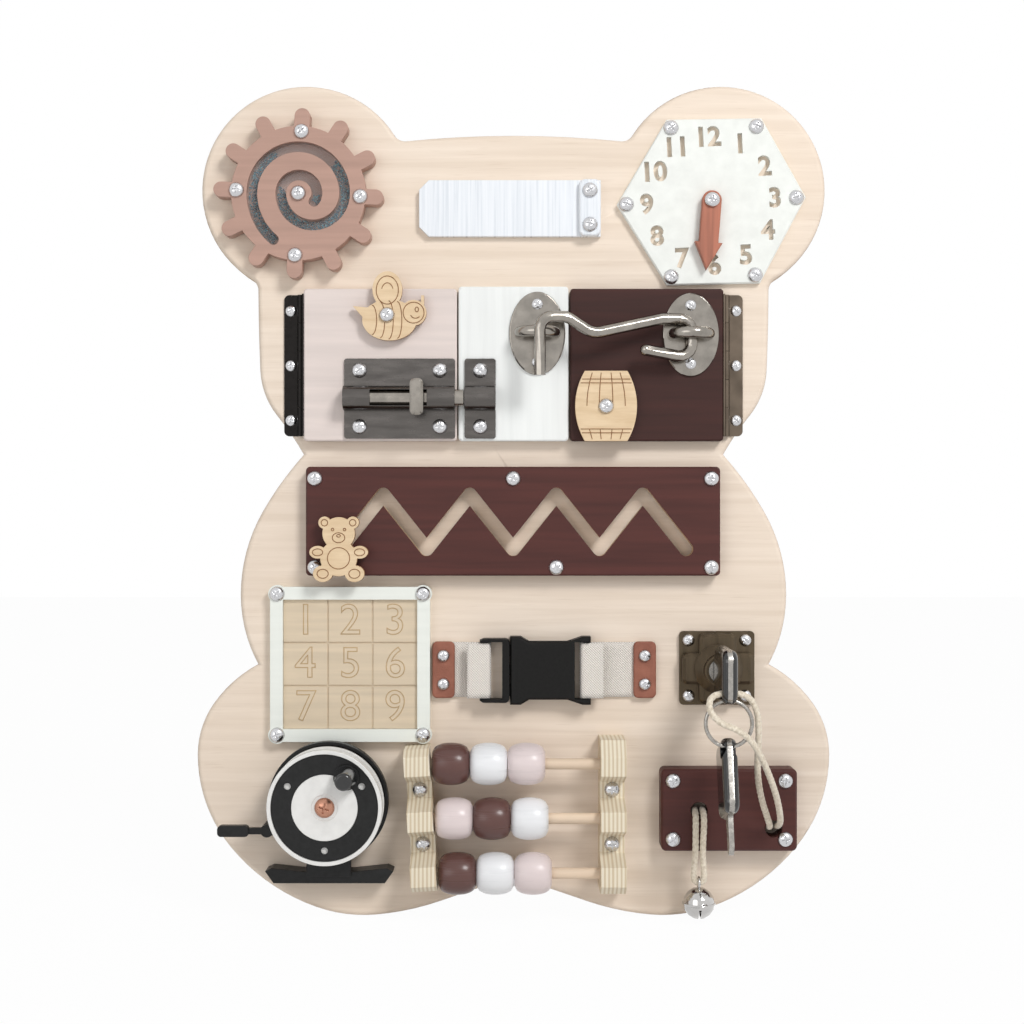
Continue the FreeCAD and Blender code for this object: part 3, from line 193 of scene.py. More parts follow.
cotton = Finish("twisted cotton", 0.86, Sheen_Weight=0.35)
fibres = cotton.noise((900, 900, 900), 4.0)
cotton_tint = cotton.blend(cotton.span(fibres, 0.3, 0.7), seen(206, 192, 170), seen(242, 232, 214))
cotton.set("Base Color", cotton_tint)
cotton.bump(fibres, 0.5, 0.0004)


def new_piece(name, mesh, finish, body, slot, *stands_for):
    piece = bpy.data.objects.new(name, mesh)
    bpy.context.scene.collection.objects.link(piece)
    mesh.materials.clear()
    mesh.materials.append(finish.material)
    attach(piece, body)
    if stands_for:
        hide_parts(*stands_for)
    return piece


def route_line(name, route):
    curve = bpy.data.curves.new(name + "_line", "CURVE")
    curve.dimensions = "3D"
    line = curve.splines.new("NURBS")
    line.points.add(len(route) - 1)
    for point, (x, up, out) in zip(line.points, route):
        point.co = (*upright(x, out, up), 1.0)
    line.order_u = 3
    line.use_endpoint_u = True
    curve.resolution_u = 14
    holder = bpy.data.objects.new(name + "_line", curve)
    mesh = bpy.data.meshes.new_from_object(holder)
    path = [v.co.copy() for v in mesh.vertices]
    bpy.data.objects.remove(holder)
    bpy.data.meshes.remove(mesh)
    return path


def twisted_cord(name, route, node, body):
    path = route_line(name, route)
    run = [0.0]
    for a, b in zip(path, path[1:]):
        run.append(run[-1] + (b - a).length)
    made = bmesh.new()
    side = Vector((1, 0, 0))
    rings = []
    for i, spot in enumerate(path):
        ahead = (path[min(i + 1, len(path) - 1)] - path[max(i - 1, 0)]).normalized()
        side = (side - ahead * side.dot(ahead)).normalized()
        over = ahead.cross(side)
        ring = []
        for k in range(strand_sides):
            a = 2 * math.pi * k / strand_sides
            swell = abs(math.cos(strands / 2 * (a - 2 * math.pi * run[i] / twist_length)))
            reach = cord_width / 2 * (strand_valley + strand_swell * swell ** strand_round)
            ring.append(made.verts.new(spot + (side * math.cos(a) + over * math.sin(a)) * reach))
        rings.append(ring)
    for first, second in zip(rings, rings[1:]):
        for k in range(strand_sides):
            n = (k + 1) % strand_sides
            made.faces.new((first[k], first[n], second[n], second[k]))
    made.faces.new(list(reversed(rings[0])))
    made.faces.new(rings[-1])
    bmesh.ops.recalc_face_normals(made, faces=made.faces)
    for f in made.faces:
        f.smooth = True
    mesh = bpy.data.meshes.new(name)
    made.to_mesh(mesh)
    made.free()
    piece = new_piece(name, mesh, cotton, body, slot_of[node], node)
    return piece, path, run[-1]


tether, tether_path, tether_length = twisted_cord("key_tether_cord", tether_route, "key_tether", "board")
bell_line, bell_path, bell_length = twisted_cord("bell_cord_loop", bell_route, "bell_cord", "bell")

# Board: 12 mm birch plywood with a fine level grain on its sanded face. The
# routed rim shows its veneers as thin dark and pale layers.
birch = Finish("birch plywood", 0.55)
grain = birch.noise((9, 60, 260), 6.0, distortion=0.5)
cloud = birch.noise((5, 12, 16), 2.0)
pores = birch.noise((60, 400, 1500), 2.0)
wood = birch.blend(birch.span(grain, 0.32, 0.68), seen(225, 208, 190), seen(240, 225, 209))
wood = birch.blend(birch.span(cloud, 0.35, 0.7) * 0.35, wood, seen(228, 208, 186))
wood = birch.blend(birch.span(pores, 0.62, 0.75) * 0.22, wood, seen(196, 172, 148))
veneer = birch.node("ShaderNodeMath", {"operation": "SINE"}, {0: birch.axis("Y") * 4200})
layers = birch.blend(veneer > 0.15, seen(214, 188, 156), seen(176, 142, 108))
flatness = birch.node("ShaderNodeMath", {"operation": "ABSOLUTE"}, {0: birch.facing("Y")})
birch.set("Base Color", birch.blend(flatness < 0.35, wood, layers))
birch.bump(grain, 0.12, 0.0003)
birch.set("Roughness", birch.span(grain, 0.3, 0.7, 0.50, 0.62))


def merged(node, flat=math.radians(0.4)):
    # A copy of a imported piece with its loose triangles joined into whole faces
    made = bmesh.new()
    made.from_mesh(nodes[node].data)
    bmesh.ops.remove_doubles(made, verts=made.verts, dist=1e-6)
    bmesh.ops.dissolve_limit(made, angle_limit=flat, verts=made.verts, edges=made.edges)
    mesh = bpy.data.meshes.new(node)
    made.to_mesh(mesh)
    made.free()
    return mesh


def finished(node, finish, edge=0.0, crease=32.0):
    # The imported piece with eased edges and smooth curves, in its own finish
    mesh = merged(node)
    piece = new_piece(node + "_piece", mesh, finish, body_of[node], slot_of[node], node)
    for f in mesh.polygons:
        f.use_smooth = True
    if edge:
        ease = piece.modifiers.new("ease", "BEVEL")
        ease.width = edge
        ease.segments = 2
        ease.limit_method = "ANGLE"
        ease.angle_limit = math.radians(crease)
        ease.use_clamp_overlap = True
    mesh.set_sharp_from_angle(angle=math.radians(crease))
    # Keeps wide faces flat to the eye where they meet a rounded edge
    shade = piece.modifiers.new("shade", "WEIGHTED_NORMAL")
    shade.keep_sharp = True
    return piece


finished("board", birch, 0.0, 40)

# Floor and light: the board is shown on plain white, under a broad soft light
# from the upper right. The floor keeps a faint shade and is otherwise white.
floor_gap = 0.0005
floor_low = cad_box[0][2] - floor_gap
floor_glow = 0.97
floor_reach = 3.0
made = bmesh.new()
corners = [(-floor_reach, -floor_reach), (floor_reach, -floor_reach), (floor_reach, floor_reach),
           (-floor_reach, floor_reach)]
made.faces.new([made.verts.new((x, y, floor_low)) for x, y in corners])
mesh = bpy.data.meshes.new("floor")
made.to_mesh(mesh)
made.free()
floor = bpy.data.objects.new("floor", mesh)
bpy.context.scene.collection.objects.link(floor)


def sees_background(tree):
    # One where the eye, a mirror or a window meets the background
    ray = tree.nodes.new("ShaderNodeLightPath")
    pair = None
    for name in ("Is Camera Ray", "Is Glossy Ray", "Is Transmission Ray"):
        if pair is None:
            pair = ray.outputs[name]
            continue
        both = tree.nodes.new("ShaderNodeMath")
        both.operation = "MAXIMUM"
        tree.links.new(pair, both.inputs[0])
        tree.links.new(ray.outputs[name], both.inputs[1])
        pair = both.outputs[0]
    return pair


white = Finish("white floor", 0.9)
white.shader.inputs["Base Color"].default_value = (0.9, 0.9, 0.9, 1)
glow = white.tree.nodes.new("ShaderNodeEmission")
mixed = white.tree.nodes.new("ShaderNodeMixShader")
plain = white.node("ShaderNodeMath", {"operation": "MULTIPLY"}, {1: floor_glow})
white.tree.links.new(sees_background(white.tree), plain.socket.node.inputs[0])
white.tree.links.new(plain.socket, mixed.inputs[0])
white.tree.links.new(white.shader.outputs[0], mixed.inputs[1])
white.tree.links.new(glow.outputs[0], mixed.inputs[2])
surface = next(n for n in white.tree.nodes if n.type == "OUTPUT_MATERIAL")
white.tree.links.new(mixed.outputs[0], surface.inputs["Surface"])
mesh.materials.append(white.material)

room_light = 0.36
world = bpy.data.worlds.new("room")
bpy.context.scene.world = world
world.use_nodes = True
room = world.node_tree
strength = room.nodes.new("ShaderNodeMapRange")
room.links.new(sees_background(room), strength.inputs[0])
strength.inputs[3].default_value = room_light
strength.inputs[4].default_value = 1.0
room.nodes["Background"].inputs["Color"].default_value = (1, 1, 1, 1)
room.links.new(strength.outputs[0], room.nodes["Background"].inputs["Strength"])
bpy.context.scene.view_settings.view_transform = "Standard"


def lamp(name, at, towards, size, power):
    data = bpy.data.lights.new(name, "AREA")
    data.shape = "DISK"
    data.size = size
    data.energy = power
    lamp_object = bpy.data.objects.new(name, data)
    lamp_object.location = at
    lamp_object.rotation_euler = (Vector(towards) - Vector(at)).to_track_quat("-Z", "Y").to_euler()
    bpy.context.scene.collection.objects.link(lamp_object)


lamp("key", (0.75, -1.25, 1.05), (0, 0, 0), 0.55, 18.0)
lamp("fill", (-0.9, -1.5, 0.25), (0, 0, 0), 1.2, 5.0)

# Screws: zinc plated pan heads with a crossed drive, driven into the board and
# the doors. One head is shaped, and every screw of a piece is placed from it.
zinc = Finish("zinc plate", 0.24, 1.0, Base_Color=seen(206, 206, 208))
zinc.set("Roughness", zinc.span(zinc.noise((700, 700, 700)), 0.3, 0.7, 0.16, 0.34))
copper = Finish("copper plate", 0.3, 1.0, Base_Color=seen(190, 140, 118))
copper.set("Roughness", copper.span(copper.noise((700, 700, 700)), 0.3, 0.7, 0.24, 0.42))
head_steps = 36
recess_wide = 0.17
recess_long = 0.52
recess_floor = -0.22
above_head = -1.0


def lathe(name, profile, steps, centre=(0, 0, 0), along="Y"):
    # A closed profile of (radius, along) turned once about an axis
    made = bmesh.new()
    rings = []
    for radius, level in profile:
        ring = []
        for k in range(steps if radius > 0 else 1):
            a = 2 * math.pi * k / steps
            across = (radius * math.cos(a), radius * math.sin(a))
            spot = {"Y": (across[0], level, across[1]), "X": (level, across[0], across[1])}[along]
            ring.append(made.verts.new(Vector(spot) + Vector(centre)))
        rings.append(ring)
    for first, second in zip(rings, rings[1:]):
        for k in range(steps):
            n = (k + 1) % steps
            if len(first) == 1:
                made.faces.new((first[0], second[n], second[k]))
            elif len(second) == 1:
                made.faces.new((first[k], first[n], second[0]))
            else:
                made.faces.new((first[k], first[n], second[n], second[k]))
    if len(rings[0]) > 1 and len(rings[-1]) > 1:
        for k in range(steps):
            n = (k + 1) % steps
            made.faces.new((rings[-1][k], rings[-1][n], rings[0][n], rings[0][k]))
    bmesh.ops.recalc_face_normals(made, faces=made.faces)
    for f in made.faces:
        f.smooth = True
    mesh = bpy.data.meshes.new(name)
    made.to_mesh(mesh)
    made.free()
    return mesh


def block(name, low, high):
    made = bmesh.new()
    size = Vector(high) - Vector(low)
    for v in bmesh.ops.create_cube(made, size=1.0)["verts"]:
        share = v.co + Vector((0.5, 0.5, 0.5))
        v.co = Vector(low) + Vector((share.x * size.x, share.y * size.y, share.z * size.z))
    mesh = bpy.data.meshes.new(name)
    made.to_mesh(mesh)
    made.free()
    return mesh


def settled(holder, name):
    # The shape with its modifiers worked out, as a plain mesh
    bpy.context.view_layer.update()
    ready = holder.evaluated_get(bpy.context.evaluated_depsgraph_get())
    mesh = bpy.data.meshes.new_from_object(ready)
    mesh.name = name
    return mesh


def without(mesh, tool, name, tangled=False):
    # The mesh with the tool cut out of it
    holder = bpy.data.objects.new("holder", mesh)
    cutter = bpy.data.objects.new("cutter", tool)
    for o in (holder, cutter):
        bpy.context.scene.collection.objects.link(o)
    cut = holder.modifiers.new("cut", "BOOLEAN")
    cut.object = cutter
    cut.operation = "DIFFERENCE"
    cut.solver = "EXACT"
    cut.use_self = tangled
    result = settled(holder, name)
    for o in (holder, cutter):
        bpy.data.objects.remove(o)
    return result


def screw_head():
    dome = [(0.0, -0.60), (0.30, -0.58), (0.58, -0.50), (0.82, -0.34), (0.97, -0.14), (1.0, 0.0),
            (0.42, 0.0), (0.42, 1.6), (0.0, 1.6)]
    head = lathe("head", dome, head_steps)
    half = recess_wide / 2
    level = block("slot", (-recess_long, above_head, -half), (recess_long, recess_floor, half))
    standing = block("slot", (-half, above_head, -recess_long), (half, recess_floor, recess_long))
    return without(without(head, level, "head"), standing, "head")


def placing_tree(name, with_turn):
    # Instances of one shape on the points of a mesh, each to its own size
    tree = bpy.data.node_groups.new(name, "GeometryNodeTree")
    face_of = tree.interface
    face_of.new_socket("Geometry", in_out="INPUT", socket_type="NodeSocketGeometry")
    shape = face_of.new_socket("Shape", in_out="INPUT", socket_type="NodeSocketObject")
    seed = face_of.new_socket("Turn seed", in_out="INPUT", socket_type="NodeSocketInt")
    coat = face_of.new_socket("Coat", in_out="INPUT", socket_type="NodeSocketMaterial")
    face_of.new_socket("Geometry", in_out="OUTPUT", socket_type="NodeSocketGeometry")
    start = tree.nodes.new("NodeGroupInput")
    end = tree.nodes.new("NodeGroupOutput")
    shape_in = tree.nodes.new("GeometryNodeObjectInfo")
    place = tree.nodes.new("GeometryNodeInstanceOnPoints")
    turn = tree.nodes.new("FunctionNodeRandomValue")
    size = tree.nodes.new("GeometryNodeInputNamedAttribute")
    whole = tree.nodes.new("GeometryNodeRealizeInstances")
    coated = tree.nodes.new("GeometryNodeSetMaterial")
    turn.data_type = "FLOAT_VECTOR"
    full = 2 * math.pi
    turn.inputs[0].default_value = (0, 0, 0) if with_turn == "Y" else (-full, -full, -full)
    turn.inputs[1].default_value = (0, full, 0) if with_turn == "Y" else (full, full, full)
    size.data_type = "FLOAT"
    size.inputs["Name"].default_value = "size"
    link = tree.links.new
    link(start.outputs["Shape"], shape_in.inputs["Object"])
    link(start.outputs["Turn seed"], turn.inputs["Seed"])
    link(start.outputs["Geometry"], place.inputs["Points"])
    link(shape_in.outputs["Geometry"], place.inputs["Instance"])
    link(turn.outputs[0], place.inputs["Rotation"])
    link(size.outputs[0], place.inputs["Scale"])
    link(place.outputs[0], whole.inputs[0])
    link(whole.outputs[0], coated.inputs["Geometry"])
    link(start.outputs["Coat"], coated.inputs["Material"])
    link(coated.outputs[0], end.inputs["Geometry"])
    return tree, {"Shape": shape.identifier, "Turn seed": seed.identifier, "Coat": coat.identifier}


def placed(name, spots, shape, tree, sockets, seed, finish):
    # Spots are (place, size); the result is one plain mesh
    points = bpy.data.meshes.new(name + "_points")
    points.from_pydata([tuple(at) for at, _ in spots], [], [])
    sizes = points.attributes.new("size", "FLOAT", "POINT")
    for i, (_, size) in enumerate(spots):
        sizes.data[i].value = size
    holder = bpy.data.objects.new("holder", points)
    model = bpy.data.objects.new("model", shape)
    for o in (holder, model):
        bpy.context.scene.collection.objects.link(o)
    place = holder.modifiers.new("place", "NODES")
    place.node_group = tree
    place[sockets["Shape"]] = model
    place[sockets["Turn seed"]] = seed
    place[sockets["Coat"]] = finish.material
    mesh = settled(holder, name)
    for o in (holder, model):
        bpy.data.objects.remove(o)
    return mesh


def islands(node):
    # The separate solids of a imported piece, each as its lowest and highest corner
    made = bmesh.new()
    made.from_mesh(nodes[node].data)
    bmesh.ops.remove_doubles(made, verts=made.verts, dist=1e-6)
    left = set(made.verts)
    found = []
    while left:
        ahead = [left.pop()]
        low = ahead[0].co.copy()
        high = ahead[0].co.copy()
        while ahead:
            v = ahead.pop()
            for i in range(3):
                low[i] = min(low[i], v.co[i])
                high[i] = max(high[i], v.co[i])
            for e in v.link_edges:
                other = e.other_vert(v)
                if other in left:
                    left.remove(other)
                    ahead.append(other)
        found.append((low, high))
    made.free()
    return sorted(found, key=lambda pair: tuple(pair[0]))


head_shape = screw_head()
screw_tree, screw_sockets = placing_tree("screws", "Y")
head_share = 0.60
reel_head = 0.0042
for seed, node in enumerate(("board_screws", "left_door_screws", "right_door_screws", "gear_screws")):
    spots = []
    large = []
    for low, high in islands(node):
        radius = (high.x - low.x) / 2
        middle = (low + high) / 2
        spot = (Vector((middle.x, low.y + head_share * radius, middle.z)), radius)
        (large if radius > reel_head else spots).append(spot)
    mesh = placed(node, spots, head_shape, screw_tree, screw_sockets, seed, zinc)
    new_piece(node + "_heads", mesh, zinc, body_of[node], slot_of[node], node)
    if large:
        mesh = placed("reel_screw", large, head_shape, screw_tree, screw_sockets, seed + 7, copper)
        new_piece("reel_centre_screw", mesh, copper, body_of[node], slot_of[node])


# Spiral gear: two layers of stained plywood screwed together over a clear
# window, with a winding channel cut in both. Loose glitter fills parts of it.
def stained(name, colour, roughness=0.5, shade=0.05, grain_along="X", glare=0.5):
    # Thin paint or stain on plywood, with the grain just showing through
    made = Finish(name, roughness)
    scale = {"X": (14, 60, 260), "Z": (260, 60, 14)}[grain_along]
    lines = made.noise(scale, 6.0, distortion=0.4)
    dark = seen(*(c * (1 - shade) for c in colour))
    pale = seen(*(min(255, c * (1 + shade)) for c in colour))
    made.set("Base Color", made.blend(made.span(lines, 0.3, 0.7), dark, pale))
    made.set("Roughness", made.span(lines, 0.3, 0.7, roughness - 0.07, roughness + 0.07))
    made.shader.inputs["Specular IOR Level"].default_value = glare
    return made.bump(lines, 0.14, 0.0002)


def metal(name, colour, roughness, scale=(500, 500, 500), spread=0.1):
    # Plated steel with a faint unevenness in its polish
    made = Finish(name, roughness, 1.0)
    haze = made.noise(scale, 4.0)
    dark = seen(*(c * 0.86 for c in colour))
    made.set("Base Color", made.blend(made.span(haze, 0.3, 0.7), dark, seen(*colour)))
    made.set("Roughness", made.span(haze, 0.3, 0.7, roughness - spread / 2, roughness + spread / 2))
    return made.bump(haze, 0.05, 0.0001)


rose = stained("dusty rose stain", (180, 146, 132), 0.55, 0.045, glare=0.3)
clear = Finish("clear acrylic", 0.06, Alpha=0.10)
clear.set("Roughness", clear.span(clear.noise((60, 60, 60)), 0.3, 0.7, 0.04, 0.09))
finished("gear_back", rose)
finished("gear_front", rose, 0.0003)
finished("gear_window", clear)
gear_centre = (-101.2, 144.4)
channel_aside = 6.6
channel_start = 230.0
# Radius, sweep, and the shares of the sweep that hold glitter
channel_arcs = ((28.4, 50.0, ((0.0, 1.0),)), (21.8, 180.0, ((0.0, 0.34), (0.76, 1.0))),
                (15.0, 180.0, ((0.0, 1.0),)), (8.5, 180.0, ((0.0, 0.12),)), (6.0, 40.0, ((0.0, 1.0),)))
channel_half = 2.1
flakes_each_mm = 15
flake_size = 0.00046
flake_low = 2.3
flake_high = 3.4
flake_sides = 5
glitter = Finish("glitter", 0.5, 0.0, Specular_IOR_Level=0.15)
sparkle = glitter.node("ShaderNodeTexVoronoi", {}, {"Vector": glitter.stretched((1400, 1400, 1400)),
                       "Scale": 1.0}, "Color")
tone = glitter.axis("X", sparkle)
deep = glitter.blend(tone > 0.3, seen(12, 42, 78), seen(20, 104, 128))
glitter.set("Base Color", glitter.blend(tone > 0.72, deep, seen(96, 176, 192)))
rng = random.Random(5)
flakes = []
angle = channel_start
centre = Vector((gear_centre[0] + channel_aside, gear_centre[1]))
before = channel_arcs[0][0]
for radius, sweep, filled in channel_arcs:
    a = math.radians(angle)
    centre = centre + Vector((math.cos(a), math.sin(a))) * (before - radius)
    for low, high in filled:
        for _ in range(int(flakes_each_mm * math.radians(sweep) * radius * (high - low))):
            a = math.radians(angle - sweep * rng.uniform(low, high))
            r = radius + rng.uniform(-channel_half, channel_half)
            out = rng.uniform(flake_low, flake_high)
            at = upright(centre.x + r * math.cos(a), out, centre.y + r * math.sin(a))
            flakes.append((at, flake_size * rng.uniform(0.6, 1.2)))
    angle -= sweep
    before = radius
flake = lathe("flake", [(0.0, -0.08), (1.0, -0.08), (1.0, 0.08), (0.0, 0.08)], flake_sides)
for f in flake.polygons:
    f.use_smooth = False
flake_tree, flake_sockets = placing_tree("glitter", "all")
mesh = placed("glitter", flakes, flake, flake_tree, flake_sockets, 3, glitter)
new_piece("gear_glitter", mesh, glitter, "gear", slot_of["gear_window"])

# Mirror plate: white acrylic with a faint upright brushing, held at one end by
# a bar with two screws.
acrylic = Finish("brushed white acrylic", 0.3, 0.0, Coat_Weight=0.4)
brushed = acrylic.noise((900, 40, 22), 5.0)
brush_tint = acrylic.blend(acrylic.span(brushed, 0.3, 0.7), seen(222, 227, 233), seen(240, 243, 247))
acrylic.set("Base Color", brush_tint)
acrylic.set("Roughness", acrylic.span(brushed, 0.3, 0.7, 0.22, 0.4))
acrylic.bump(brushed, 0.12, 0.0001)
finished("mirror_plate", acrylic, 0.0004)
finished("mirror_clamp", acrylic, 0.0004)

# Clock: a six sided white plate with its hours cut right through, so that the
# board shows in them. The stained hand turns on the middle screw.
clock_white = Finish("satin white sheet", 0.34, 0.0, Coat_Weight=0.2)
speck = clock_white.noise((180, 180, 180), 4.0)
clock_tint = clock_white.blend(clock_white.span(speck, 0.3, 0.7), seen(230, 232, 227), seen(239, 241, 236))
clock_white.set("Base Color", clock_tint)
clock_white.bump(speck, 0.05, 0.0001)
clock_middle = (93.5, 141.4)
hour_circle = 30.4
hour_height = 12.6
hour_weight = 0.0005
hour_out = 1.5
cut_deep = 0.004
dial_turn = 3.0


def lettering(text, height, spot, out, turn=0.0, line=0.0, weight=0.0):
    # Figures as a solid to cut with, or as a thin line round each figure
    data = bpy.data.curves.new("figure", "FONT")
    data.body = text
    data.size = height / 1000
    data.align_x = "CENTER"
    data.align_y = "CENTER"
    data.resolution_u = 6
    if line:
        data.fill_mode = "NONE"
        data.bevel_depth = line
        data.bevel_resolution = 1
    else:
        data.extrude = cut_deep
        data.offset = weight
    holder = bpy.data.objects.new("figure", data)
    mesh = bpy.data.meshes.new_from_object(holder)
    bpy.data.objects.remove(holder)
    stood = Matrix.Rotation(math.radians(turn), 4, "Y") @ Matrix.Rotation(math.radians(90), 4, "X")
    mesh.transform(Matrix.Translation(upright(spot[0], out, spot[1])) @ stood)
    return mesh


def joined(name, meshes):
    made = bmesh.new()
    for mesh in meshes:
        made.from_mesh(mesh)
    bmesh.ops.remove_doubles(made, verts=made.verts, dist=1e-7)
    whole = bpy.data.meshes.new(name)
    made.to_mesh(whole)
    made.free()
    return whole


plate = merged("clock_face", 0.0)
for hour in range(1, 13):
    a = math.radians(90 - 30 * hour + dial_turn)
    spot = (clock_middle[0] + hour_circle * math.cos(a), clock_middle[1] + hour_circle * math.sin(a))
    figure = lettering(str(hour), hour_height, spot, hour_out, -dial_turn, weight=hour_weight)
    plate = without(plate, joined("hour", [figure]), "clock_face", True)
new_piece("clock_plate", plate, clock_white, "board", slot_of["clock_face"], "clock_face")
red = stained("red brown stain", (168, 104, 82), 0.5, 0.16, "Z")
finished("clock_hand", red, 0.0003)

# Doors: three painted plywood squares in one row. The outer two open on long
# butt hinges, black on the left and aged bronze on the right.
pink = stained("pale pink stain", (221, 208, 202), 0.5, 0.025)
maroon = stained("maroon stain", (78, 43, 39), 0.5, 0.1, glare=0.25)
dark_maroon = stained("dark maroon stain", (58, 32, 28), 0.5, 0.1, glare=0.25)
white_paint = stained("white paint", (237, 239, 237), 0.42, 0.02, "Z")
finished("left_door", pink)
finished("right_door", dark_maroon)
finished("middle_panel", white_paint)
hinge_black = metal("black japanned steel", (38, 36, 35), 0.3)
hinge_bronze = metal("aged bronze", (112, 100, 88), 0.42, (90, 90, 90), 0.3)
finished("left_door_leaf", hinge_black, 0.0002)
finished("right_door_leaf", hinge_bronze, 0.0002)
mesh = merged("board_hinges")
piece = new_piece("hinge_leaves", mesh, hinge_black, "board", slot_of["board_hinges"], "board_hinges")
mesh.materials.append(hinge_bronze.material)
for f in mesh.polygons:
    f.use_smooth = True
    f.material_index = 1 if f.center.x > 0 else 0
mesh.set_sharp_from_angle(angle=math.radians(32))

# Barrel bolt and hook: bought steel hardware. The bolt's plates are black nickel,
# its rod, the hook and the hook's two eyes are polished nickel.
black_nickel = metal("black nickel", (104, 100, 97), 0.24, (60, 300, 300), 0.16)
nickel = metal("polished nickel", (164, 158, 150), 0.2, (160, 160, 160), 0.1)
finished("bolt_housing", black_nickel, 0.0003)
finished("bolt_keeper", black_nickel, 0.0003)
finished("bolt_rod", nickel, 0.0002)
for node in ("panel_eye_plate", "door_eye_plate", "hook"):
    finished(node, nickel, 0.0, 40)

# Tags: a bee, a barrel and a bear, cut and engraved by laser in thin bare
# plywood, which leaves their edges and lines brown.
bare = Finish("laser cut plywood", 0.6)
lines = bare.noise((60, 60, 420), 5.0, distortion=0.6)
flat = bare.node("ShaderNodeMath", {"operation": "ABSOLUTE"}, {0: bare.facing("Y")})
pale_face = bare.blend(bare.span(lines, 0.3, 0.7), seen(214, 186, 148), seen(230, 205, 170))
bare.set("Base Color", bare.blend(flat < 0.5, pale_face, seen(158, 116, 78)))
bare.bump(lines, 0.12, 0.0002)
burnt = Finish("laser line", 0.8, 0.0)
char = burnt.span(burnt.noise((700, 700, 700)), 0.3, 0.7)
burnt.set("Base Color", burnt.blend(char, seen(122, 82, 50), seen(150, 106, 68)))
for node in ("bee_tag", "barrel_tag", "bear_slider"):
    finished(node, bare, 0.0002)
line_half = 0.00022


def arc(x, y, half_x, half_y, start=0.0, sweep=360.0):
    steps = max(6, int(sweep / 12))
    return [(x + half_x * math.cos(math.radians(start + sweep * i / steps)),
             y + half_y * math.sin(math.radians(start + sweep * i / steps))) for i in range(steps + 1)]


def engraved(name, strokes, out, body, slot):
    # Fine brown lines half sunk in a face; strokes are in millimetres on the board
    curve = bpy.data.curves.new(name, "CURVE")
    curve.dimensions = "3D"
    curve.bevel_depth = line_half
    curve.bevel_resolution = 1
    curve.use_fill_caps = True
    for stroke in strokes:
        line = curve.splines.new("POLY")
        line.points.add(len(stroke) - 1)
        for point, (x, up) in zip(line.points, stroke):
            point.co = (*upright(x, out, up), 1.0)
    holder = bpy.data.objects.new(name, curve)
    mesh = bpy.data.meshes.new_from_object(holder)
    bpy.data.objects.remove(holder)
    new_piece(name, mesh, burnt, body, slot)


tag_out = (-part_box("bee_tag")[0][1] - face) * 1000
bee_x, bee_y = -58.1, 84.5
bee_lines = [arc(bee_x + offset, bee_y, 2.2, math.sqrt(1 - (offset / 12.8) ** 2) * 9.0, -90, 180)
             for offset in (-8.2, -4.4, -0.4, 3.6)]
bee_lines += [arc(bee_x + 11.3, bee_y + 3.4, 4.9, 4.9), arc(bee_x + 12.8, bee_y + 4.9, 0.8, 1.1),
              arc(bee_x + 12.2, bee_y + 3.0, 2.4, 2.2, 200, 120), arc(bee_x - 1.0, bee_y + 14.0, 5.2, 6.6),
              arc(bee_x - 1.0, bee_y + 13.2, 2.8, 4.2, 20, 140)]
engraved("bee_lines", bee_lines, tag_out, "bee", slot_of["bee_tag"])
barrel_x, barrel_y = 43.4, 44.2
barrel_half = 14.5
barrel_taper = 4.5
stave_taper = 0.31
barrel_rise = 16.5
band_inset = 0.6
barrel_lines = []
for rise in (12.6, 10.8, -10.8, -12.6):
    half = barrel_half - barrel_taper * (rise / barrel_rise) ** 2 - band_inset
    barrel_lines.append([(barrel_x - half, barrel_y + rise), (barrel_x + half, barrel_y + rise)])
for share in (-0.62, -0.22, 0.22, 0.62):
    for rises in ((15.6, 13.0, 10.8, 7.0, 3.4, 0.0), (-10.8, -13.0, -15.6)):
        barrel_lines.append([(barrel_x + barrel_half * share * (1 - stave_taper * (rise / barrel_rise) ** 2),
                              barrel_y + rise) for rise in rises])
engraved("barrel_lines", barrel_lines, tag_out, "barrel", slot_of["barrel_tag"])
bear_x, bear_y = -81.6, -22.9
bear_out = (-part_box("bear_slider")[0][1] - face) * 1000
bear_lines = [arc(bear_x, bear_y + 5.4, 2.9, 2.3), arc(bear_x, bear_y + 6.3, 0.9, 0.6),
              arc(bear_x, bear_y - 4.2, 5.2, 5.0)]
for side in (-1, 1):
    for aside, rise, half_x, half_y in ((2.8, 9.2, 0.6, 0.6), (6.6, 12.4, 1.5, 1.5), (7.4, -11.4, 2.6, 2.1),
                                        (9.8, -1.4, 2.4, 1.6)):
        bear_lines.append(arc(bear_x + side * aside, bear_y + rise, half_x, half_y))
engraved("bear_lines", bear_lines, bear_out, "bear", slot_of["bear_slider"])

# Maze: a maroon plate with a zigzag groove, whose cut walls are left bare, and
# the bear that runs in it.
mesh = merged("maze_plate")
new_piece("maze", mesh, maroon, "board", slot_of["maze_plate"], "maze_plate")
groove_wall = stained("bare groove wall", (196, 166, 128), 0.6, 0.08)
mesh.materials.append(groove_wall.material)
low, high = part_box("maze_plate")
end_margin = 0.003
side_margin = 0.006
for f in mesh.polygons:
    within = low[0] + end_margin < f.center.x < high[0] - end_margin
    inside = within and low[2] + side_margin < f.center.z < high[2] - side_margin
    f.material_index = 1 if inside and abs(f.normal.y) < 0.5 else 0

